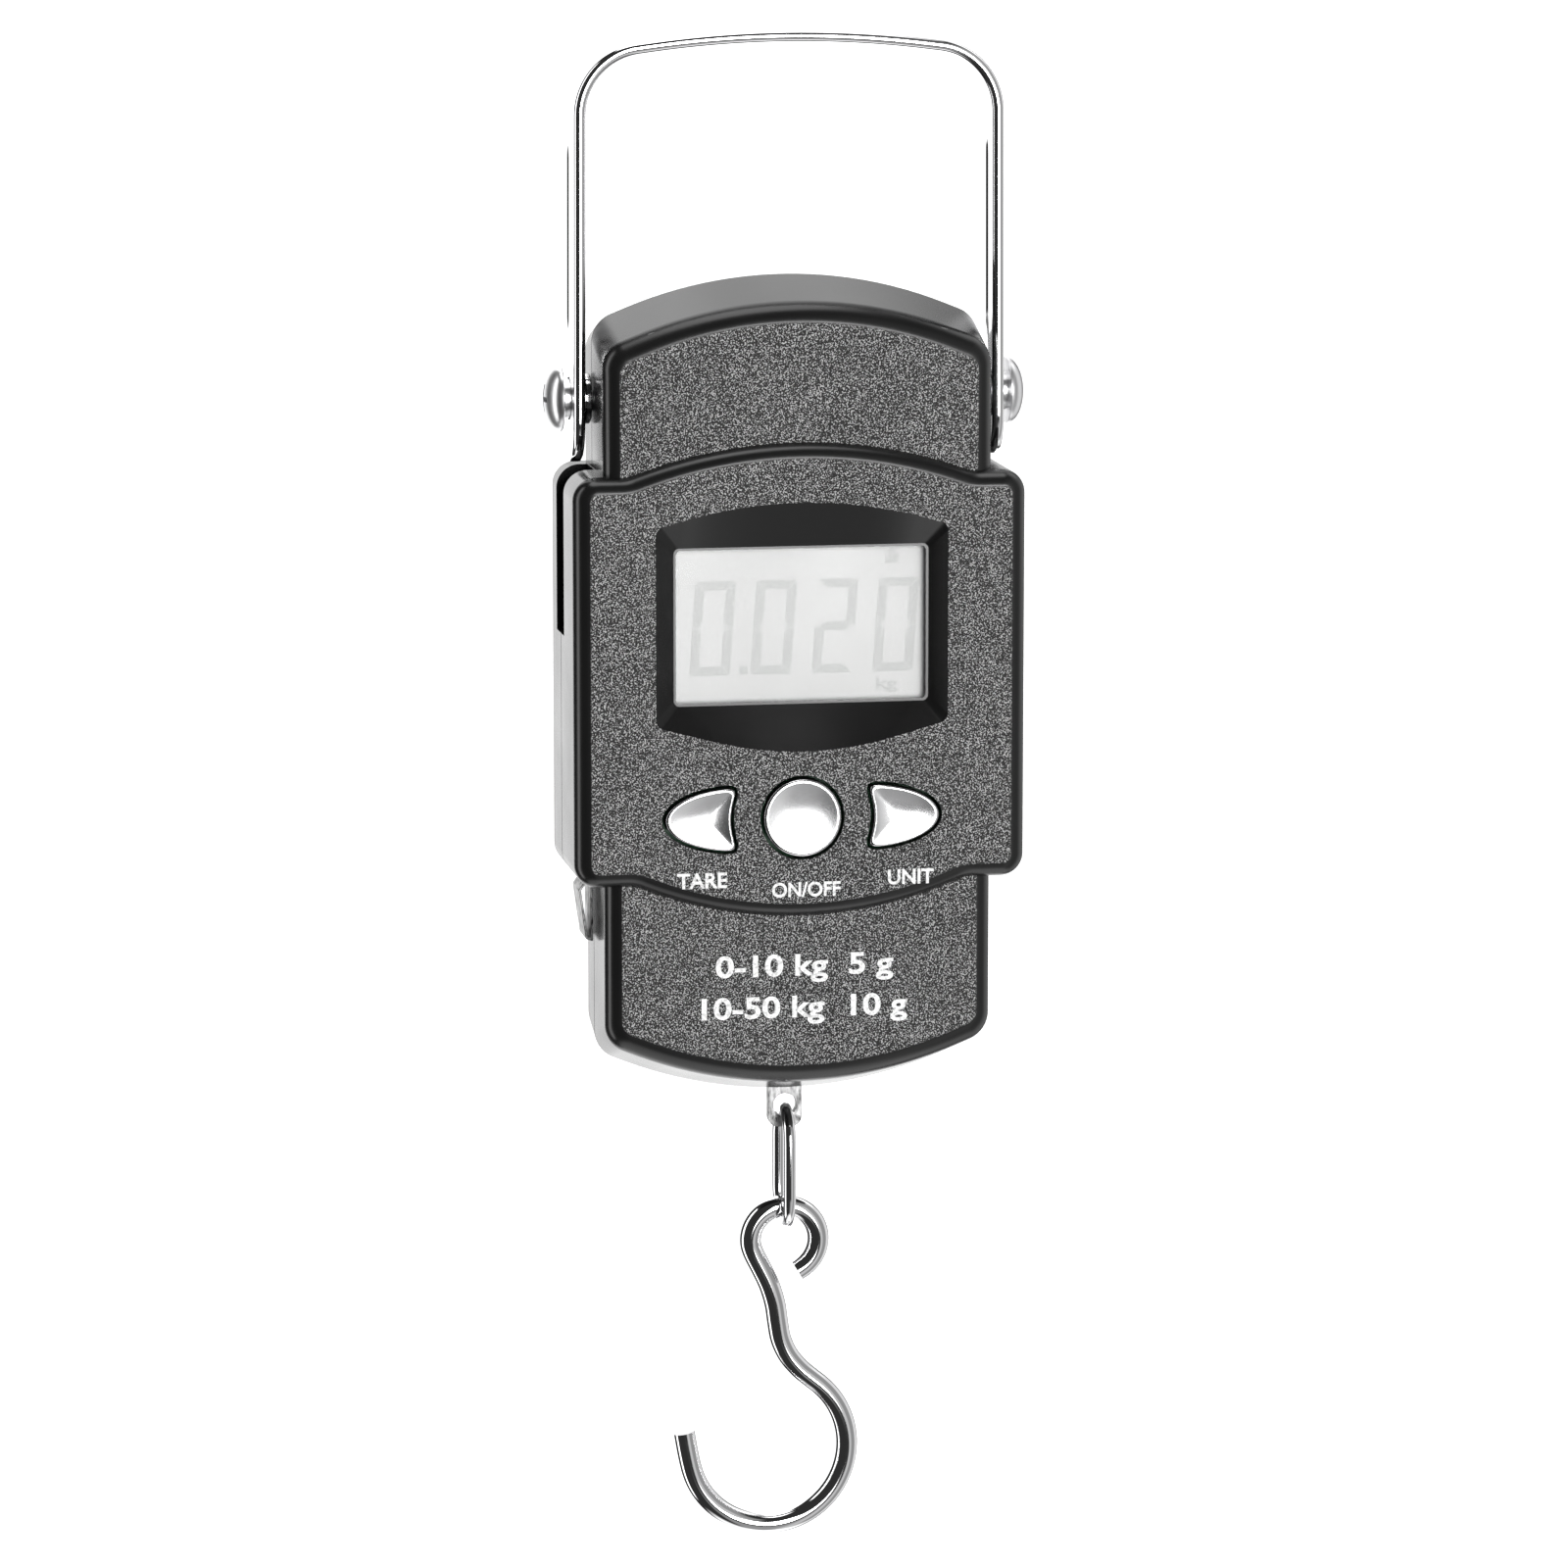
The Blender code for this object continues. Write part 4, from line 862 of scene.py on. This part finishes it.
def rounded(corners):
    """Anticlockwise outline of (a, b, radius) corners, each turned into an arc."""
    outline = []
    for index, (a, b, radius) in enumerate(corners):
        before = Vector(corners[index - 1][:2])
        after = Vector(corners[(index + 1) % len(corners)][:2])
        if radius == 0:
            outline.append((a, b))
            continue
        count = 2 * ARC_STEPS if radius > LARGE_R else ARC_STEPS
        outline += [tuple(point) for point in bend(before, Vector((a, b)), after, radius, count)]
    return outline


def offset(outline, distance):
    """The outline with every side moved inwards by distance, corner for corner."""
    moved = []
    for index, point in enumerate(outline):
        here = Vector(point)
        into = (here - Vector(outline[index - 1])).normalized()
        out = (Vector(outline[(index + 1) % len(outline)]) - here).normalized()
        normal_in = Vector((-into.y, into.x))
        bisector = (normal_in + Vector((-out.y, out.x))).normalized()
        moved.append(tuple(here + bisector * distance / max(SHARPEST, bisector.dot(normal_in))))
    return moved


def rectangle(left, right, low, high, radius=0.0):
    """Anticlockwise outline of a rectangle, with round corners if a radius is given."""
    return rounded([(left, low, radius), (right, low, radius),
                    (right, high, radius), (left, high, radius)])


def arch_peak(shoulder_x, shoulder_z, slope, crown):
    """Corner (0, z, radius) whose arc crowns at crown and leaves the shoulder at slope."""
    angle = math.radians(slope)
    peak = shoulder_z + math.copysign(shoulder_x * math.tan(angle), crown - shoulder_z)
    return (0, peak, abs(peak - crown) / (1 / math.cos(angle) - 1))


def body_outline(y, inset):
    """The slim body's outline at depth y; its top and bottom slope away from the seam."""
    half, arch, corner = BODY["half"], BODY["arch"], BODY["corner"]
    fall = BODY["slope"] * abs(y - SEAM_Y)
    top, low = BODY["top"] - fall, BODY["bottom"] + fall
    top_side, low_side = top - BODY["drop"], low + BODY["drop"]
    return offset(rounded([
        (half, low_side, corner), (half, top_side, corner), arch_peak(half, top_side, arch, top),
        (-half, top_side, corner), (-half, low_side, corner), arch_peak(half, low_side, arch, low),
    ]), inset)


def band_outline(y, inset):
    """The band's outline: flat shoulders that blend into an arch, above and below."""
    half, corner, blend = BAND["half"], BAND["corner"], BAND["blend"]
    top_x, top_z, top_slope = BAND["upper"]
    low_x, low_z, low_slope = BAND["lower"]
    return offset(rounded([
        (half, low_z, corner), (half, top_z, corner), (top_x, top_z, blend),
        arch_peak(top_x, top_z, top_slope, BAND["top"]),
        (-top_x, top_z, blend), (-half, top_z, corner),
        (-half, low_z, corner), (-low_x, low_z, blend),
        arch_peak(low_x, low_z, low_slope, BAND["bottom"]), (low_x, low_z, blend),
    ]), inset)


def rolled(outline_at, seam, face, inset=0.0, edge=0.0):
    """A solid from the seam to a face, with a quarter-round edge of the given radius."""
    inwards = math.copysign(1, seam - face)
    rings = [[(a, seam, b) for a, b in outline_at(seam, inset)]]
    for step in range(EDGE_STEPS + 1 if edge else 1):
        turn = math.radians(90) * step / EDGE_STEPS
        y = face + inwards * edge * (1 - math.sin(turn))
        rings.append([(a, y, b) for a, b in outline_at(y, inset + edge * (1 - math.cos(turn)))])
    return loft(rings)


def shell_steps(face, band_face, seam):
    """The slim body, and the steps that add the band and hollow both out."""
    past_seam = seam + math.copysign(OVER, seam - face)
    inwards = math.copysign(WALL, seam - face)
    return rolled(body_outline, seam, face, edge=EDGE), [
        ("UNION", rolled(band_outline, seam, band_face, edge=EDGE)),
        ("DIFFERENCE", rolled(body_outline, past_seam, face + inwards, inset=WALL)),
        ("DIFFERENCE", rolled(band_outline, past_seam, band_face + inwards, inset=WALL)),
    ]


def seam_openings():
    """What passes through the side walls and the bottom of both shells."""
    pivots = lathe([(PIVOT_OPENING_R, -PAST_SIDES), (PIVOT_OPENING_R, PAST_SIDES)], PIVOT_Z, 1)
    return [pivots] + [box_shape(low, high) for low, high in WALL_OPENINGS]


def bezel_cut():
    """The display's recess: arched outside, and straight round the window."""
    half, corner, slope = BEZEL["half"], BEZEL["corner"], BEZEL["slope"]
    top, low, ledge = BEZEL["high"], BEZEL["low"], BEZEL["ledge"]
    rim = rounded([
        (half, low, corner), (half, top, corner), arch_peak(half, top, slope, BEZEL["crown"]),
        (-half, top, corner), (-half, low, corner), arch_peak(half, low, slope, BEZEL["keel"]),
    ])
    left, right, window_low, window_high = WINDOW
    under, over = window_low - ledge, window_high + ledge
    corners = rectangle(left - ledge, right + ledge, under, over, LEDGE_CORNER)
    one = ARC_STEPS + 1
    reach = BEZEL["reach"] * half
    span = [reach * (1 - step / ARC_STEPS) for step in range(2 * ARC_STEPS + 1)]
    floor = (corners[one:3 * one] + [(a, over) for a in span]
             + corners[3 * one:] + corners[:one] + [(-a, under) for a in span])
    face, deep = BAND["front"], BEZEL["floor"]
    lead = (face - OVER - deep) / (face - deep)
    mouth = [(c + (a - c) * lead, d + (b - d) * lead) for (a, b), (c, d) in zip(rim, floor)]
    return loft([[(a, face - OVER, b) for a, b in mouth], [(a, deep, b) for a, b in floor]])


def at_case_screws(profile):
    """The same solid of revolution at each of the four case screws."""
    return [turned(profile, x, z) for x, z in CASE_SCREWS]


def make_front_shell():
    """The front half: screw posts, the display's recess and window, and the key openings."""
    front, seam = BAND["front"], SEAM_Y - SEAM_GAP / 2
    shape, steps = shell_steps(BODY["front"], front, seam)
    posts = at_case_screws([(FRONT_POST_R, BODY["front"] + WALL - GAP),
                            (FRONT_POST_R, SEAM_Y - GAP)])
    backing = prism(rectangle(*BEZEL_BACKING), front + WALL / 2, BEZEL["back"])
    before, behind = front - OVER, front + WALL + OVER
    cuts = at_case_screws([(SCREW_R, SCREW_TIP_Y), (SCREW_R, SEAM_Y)])
    cuts.append(prism(rectangle(*WINDOW, WINDOW_CORNER), BEZEL["floor"] - OVER,
                      BEZEL["back"] + OVER))
    hole = KEY_R + KEY_GAP
    cuts.append(turned([(hole, before), (hole, behind)], 0, KEY_Z, KEY_HOLE_COUNT))
    for side in (-1, 1):
        leaf = [(a, KEY_Z + b) for a, b in leaf_outline(side)][::side]
        cuts.append(prism(offset(leaf, -KEY_GAP), before, behind))
    steps += [("UNION", join(posts + [backing])), ("DIFFERENCE", bezel_cut()),
              ("DIFFERENCE", join(cuts + seam_openings()))]
    mesh = built("front_shell_fine", shape, steps, SHELL_SHARP)
    flat_first(add("front_shell_fine", mesh, "shell", "housing", "front_shell"))


def make_rear_shell():
    """The rear half: bored screw posts and the battery cover's opening."""
    rear, seam = BAND["rear"], SEAM_Y + SEAM_GAP / 2
    shape, steps = shell_steps(BODY["rear"], rear, seam)
    posts = at_case_screws([(REAR_POST_R, SEAM_Y + GAP), (REAR_POST_R, BODY["rear"] - WALL / 2)])
    cuts = at_case_screws([(SCREW_R, SEAM_Y), (SCREW_R, SCREW_HEAD_Y),
                           (SCREW_HEAD_R, SCREW_HEAD_Y + HAIR),
                           (SCREW_HEAD_R, BODY["rear"] + OVER)])
    left, right, low, high = COVER
    cover = rectangle(left - GAP, right + GAP, low - GAP, high + GAP, COVER_CORNER)
    cuts.append(prism(cover, rear - WALL - OVER, rear + OVER))
    steps += [("UNION", join(posts)), ("DIFFERENCE", join(cuts + seam_openings()))]
    mesh = built("rear_shell_fine", shape, steps, SHELL_SHARP)
    flat_first(add("rear_shell_fine", mesh, "shell", "housing", "rear_shell"))


def make_seam_lip():
    """The tongue inside the seam, which keeps light and dust out."""
    front = SEAM_Y - SEAM_GAP / 2 + HAIR
    rear = SEAM_Y + SEAM_GAP / 2 - HAIR
    before, behind = front - OVER, rear + OVER
    steps = [("UNION", prism(band_outline(SEAM_Y, LIP_FROM), front, rear)),
             ("DIFFERENCE", prism(body_outline(SEAM_Y, LIP_TO), before, behind)),
             ("DIFFERENCE", prism(band_outline(SEAM_Y, LIP_TO), before, behind)),
             ("DIFFERENCE", join(seam_openings()))]
    mesh = built("seam_lip", prism(body_outline(SEAM_Y, LIP_FROM), front, rear), steps, SHELL_SHARP)
    add("seam_lip", mesh, "smooth", "housing")


# -------- display

# The reading, the bars of its digits, and the small marks beside it: the decimal point and
# a lock.
READING = "0020"
SEGMENTS = {"0": "abcdef", "2": "abdeg"}
DIGITS_FROM_X = -13.0
DIGIT_PITCH = 9.45
DIGIT_Z = -88.3
DIGIT_WIDE = 6.2
DIGIT_TALL = 14.5
STROKE = 1.4
BAR_GAP = 0.16
LEAN = 0.07
SEGMENT_THICK = 0.05
SEGMENT_LIFT = 0.06
SEGMENT_SHARP = 35
POINT = [(-8.9, -95.5), (-7.6, -95.5), (-7.6, -94.2), (-8.9, -94.2)]
LOCK = [(13.7, -78.9), (15.8, -78.9), (15.8, -77.4), (13.7, -77.4)]
SHACKLE = [(14.1, -77.3), (14.1, -76.9), (14.4, -76.55), (15.1, -76.55), (15.4, -76.9),
           (15.4, -77.3)]


def segment(kind):
    """The corners of one bar of a seven-segment digit, about the digit's centre."""
    w, h, s = DIGIT_WIDE / 2, DIGIT_TALL / 2, STROKE
    gap = BAR_GAP
    along = {
        "a": [(-w + gap, h), (w - gap, h), (w - s, h - s), (-w + s, h - s)],
        "b": [(w, h - gap), (w, gap), (w - s / 2, gap), (w - s, s / 2 + gap), (w - s, h - s - gap)],
        "g": [(-w + s, s / 2), (w - s, s / 2), (w - s / 2, 0),
              (w - s, -s / 2), (-w + s, -s / 2), (-w + s / 2, 0)],
    }
    along["f"] = [(-a, b) for a, b in along["b"]]
    along["d"] = [(a, -b) for a, b in along["a"]]
    along["c"] = [(a, -b) for a, b in along["b"]]
    along["e"] = [(-a, -b) for a, b in along["b"]]
    return along[kind]


def make_display():
    """Thin bars that stand on the panel, behind the window."""
    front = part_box("lcd_panel")[0].y / MM - SEGMENT_LIFT
    outlines = []
    for index, digit in enumerate(READING):
        middle = DIGITS_FROM_X + index * DIGIT_PITCH
        for kind in SEGMENTS[digit]:
            outlines.append([(middle + a + LEAN * b, DIGIT_Z + b) for a, b in segment(kind)])
    outlines += [POINT, LOCK, SHACKLE]
    shapes = [prism(outline, front, front + SEGMENT_THICK) for outline in outlines]
    mesh = as_mesh("segments", join(shapes), SEGMENT_SHARP)
    add("lcd_segments", mesh, "lcd_ink", "housing")
    label("lcd_unit", "kg", (13.9, -97.6), (3.2, 2.4), front, "lcd_ink", SEGMENT_THICK)


# -------- print

INK_THICK = 0.03
INK_LIFT = 0.04
INK_BOLD = 0.023
INK_SHARP = 30


def label(name, text, centre, size, front, look, thick):
    """Generic lettering in Blender's own font, as a thin layer standing on a face."""
    curve = bpy.data.curves.new(name, "FONT")
    curve.body = text
    curve.align_x = "CENTER"
    curve.align_y = "CENTER"
    curve.size = 1.0
    curve.offset = INK_BOLD
    holder = bpy.data.objects.new(f"{name}_text", curve)
    bpy.context.scene.collection.objects.link(holder)
    bpy.context.view_layer.update()
    mesh = bpy.data.meshes.new_from_object(holder)
    bpy.data.objects.remove(holder)
    xs = [vert.co.x for vert in mesh.vertices]
    ys = [vert.co.y for vert in mesh.vertices]
    across = size[0] / (max(xs) - min(xs))
    up = size[1] / (max(ys) - min(ys))
    middle_x = (max(xs) + min(xs)) / 2
    middle_y = (max(ys) + min(ys)) / 2
    shape = bmesh.new()
    shape.from_mesh(mesh)
    bpy.data.meshes.remove(mesh)
    for vert in shape.verts:
        x = centre[0] + (vert.co.x - middle_x) * across
        z = centre[1] + (vert.co.y - middle_y) * up
        vert.co = Vector((x, front, z)) * MM
    made = bmesh.ops.extrude_face_region(shape, geom=list(shape.faces))
    for item in made["geom"]:
        if isinstance(item, bmesh.types.BMVert):
            item.co.y += thick * MM
    bmesh.ops.recalc_face_normals(shape, faces=shape.faces)
    add(name, as_mesh(name, shape, INK_SHARP), look, "housing")


def make_labels():
    """Printed words, with their (x, z) centres and (wide, tall) sizes, on the two faces."""
    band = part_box("front_shell")[0].y / MM - INK_LIFT
    body = band + BODY["front"] - BAND["front"]
    for name, text, centre, size, front in (
            ("label_tare", "TARE", (-15.5, -126.3), (7.7, 2.4), band),
            ("label_power", "ON/OFF", (0.6, -128.1), (10.6, 2.3), band),
            ("label_unit", "UNIT", (16.8, -126.6), (7.1, 2.35), band),
            ("label_range_low", "0-10 kg  5 g", (0.7, -140.7), (27.6, 4.5), body),
            ("label_range_high", "10-50 kg  10 g", (0.7, -147.2), (32.0, 4.5), body)):
        label(name, text, centre, size, front, "ink", INK_THICK)


# -------- studio

WORLD_BASE = 0.03
WINDOW_LIGHT = 18.0
FILL_LIGHT = 0.28
SIDE_LIGHT = 0.75
STRIP_LIGHT = 2.6
BACK_LIGHT = 1.1
REAR_LEFT_LIGHT = 1.6
HIGH_LIGHT = 0.8
TOP_LIGHT = 3.0
FLOOR_Z = -0.60
FLOOR_HALF = 20.0


def studio_world():
    """Light by direction: a bright window in front, dark to its left, grey to its right and
    below it, a narrow strip at the far left, lights behind, and a lit ceiling and floor. The
    camera itself sees plain white.
    """
    world = bpy.data.worlds.new("studio")
    bpy.context.scene.world = world
    world.use_nodes = True
    tree = world.node_tree
    tree.nodes.clear()
    new = tree.nodes.new
    link = tree.links.new

    value = partial(math_node, tree)
    step = partial(step_node, tree)

    def patch(light, left, right, low, high, soft):
        """Light inside a rectangle of directions, in degrees, with soft edges."""
        made = value("MULTIPLY", step(across, left - soft, left + soft),
                     step(across, right + soft, right - soft))
        made = value("MULTIPLY", made, step(up, low - soft, low + soft))
        made = value("MULTIPLY", made, step(up, high + soft, high - soft))
        return value("MULTIPLY", made, light)

    split = new("ShaderNodeSeparateXYZ")
    link(new("ShaderNodeTexCoord").outputs["Generated"], split.inputs["Vector"])
    x, y, z = split.outputs
    across = value("MULTIPLY", value("ARCTAN2", x, value("MULTIPLY", y, -1)), 180 / math.pi)
    up = value("MULTIPLY", value("ARCSINE", z), 180 / math.pi)
    # Directions are degrees round from the front, to the right, and degrees up.
    lights = [
        patch(WINDOW_LIGHT, 0, 20, -7.8, 20, 4),
        patch(FILL_LIGHT, 21, 88, -90, 50, 6),
        patch(FILL_LIGHT, 21, 44, -90, 30, 6),
        patch(FILL_LIGHT, -5, 21, -90, -22, 6),
        patch(SIDE_LIGHT, 88, 136, -70, 60, 6),
        patch(STRIP_LIGHT, -107, -88, -50, 50, 4),
        patch(BACK_LIGHT, 154, 200, -65, 66, 4),
        patch(HIGH_LIGHT, 154, 200, -60, -16, 6),
        patch(REAR_LEFT_LIGHT, -200, -152, -65, 66, 6),
        patch(HIGH_LIGHT, 104, 200, 32, 66, 6),
        patch(HIGH_LIGHT, -200, -152, 32, 66, 6),
        value("MULTIPLY", step(up, -58, -72), BACK_LIGHT),
        value("MULTIPLY", step(up, 68, 76), TOP_LIGHT),
    ]
    total = lights[0]
    for light in lights[1:]:
        total = value("ADD", total, light)
    total = value("ADD", total, WORLD_BASE)

    shade = new("ShaderNodeBackground")
    shade.inputs["Color"].default_value = (1, 1, 1, 1)
    link(total, shade.inputs["Strength"])
    plain = new("ShaderNodeBackground")
    plain.inputs["Color"].default_value = (1, 1, 1, 1)
    plain.inputs["Strength"].default_value = 1.0
    mix = new("ShaderNodeMixShader")
    link(new("ShaderNodeLightPath").outputs["Is Camera Ray"], mix.inputs["Fac"])
    link(shade.outputs["Background"], mix.inputs[1])
    link(plain.outputs["Background"], mix.inputs[2])
    link(mix.outputs["Shader"], new("ShaderNodeOutputWorld").inputs["Surface"])


def studio_floor():
    """A pale floor well below the hanging scale, out of its light and reflections."""
    mesh = bpy.data.meshes.new("floor")
    corners = [(FLOOR_HALF * a, FLOOR_HALF * b, FLOOR_Z)
               for a, b in ((-1, -1), (1, -1), (1, 1), (-1, 1))]
    mesh.from_pydata(corners, [], [(0, 1, 2, 3)])
    floor = bpy.data.objects.new("floor", mesh)
    bpy.context.scene.collection.objects.link(floor)
    look = Shader("pale_floor", (0.93, 0.93, 0.93), 0.9)
    look.set("Specular IOR Level", 0.1)
    look.set("Emission Color", (1, 1, 1, 1))
    look.set("Emission Strength", 0.5)
    mesh.materials.append(look.made)
    floor.visible_diffuse = floor.visible_glossy = False
    floor.visible_transmission = floor.visible_shadow = False


CAMERA_TARGET = Vector((0, 0, -0.1145))
CAMERA_DISTANCE = 1.090
CAMERA_TURN = math.radians(9.9)
CAMERA_DROP = math.radians(9.5)
CAMERA_LENS = 162
CAMERA_SENSOR = 36


def studio_camera():
    """Stands to the left of the scale and a little above it."""
    data = bpy.data.cameras.new("camera")
    data.lens = CAMERA_LENS
    data.sensor_width = CAMERA_SENSOR
    camera = bpy.data.objects.new("camera", data)
    bpy.context.scene.collection.objects.link(camera)
    forward = Vector((math.sin(CAMERA_TURN) * math.cos(CAMERA_DROP),
                      math.cos(CAMERA_TURN) * math.cos(CAMERA_DROP), -math.sin(CAMERA_DROP)))
    camera.location = CAMERA_TARGET - forward * CAMERA_DISTANCE
    camera.rotation_euler = forward.to_track_quat("-Z", "Y").to_euler()
    bpy.context.scene.camera = camera


# -------- the scene

for name, node in nodes.items():
    dress(node, NODE_LOOKS.get(name, "steel"))
make_strap()
make_front_shell()
make_rear_shell()
make_seam_lip()
refined("battery_cover", "shell", 0.25)
refined("hanger_plate", "plate", 0.2)
refined("tape_pull_tab", "plate", 0.12)
make_hook()
make_link()
make_pivots()
make_keys()
make_display()
make_labels()
studio_world()
studio_floor()
studio_camera()
bpy.context.scene.view_settings.view_transform = "Standard"
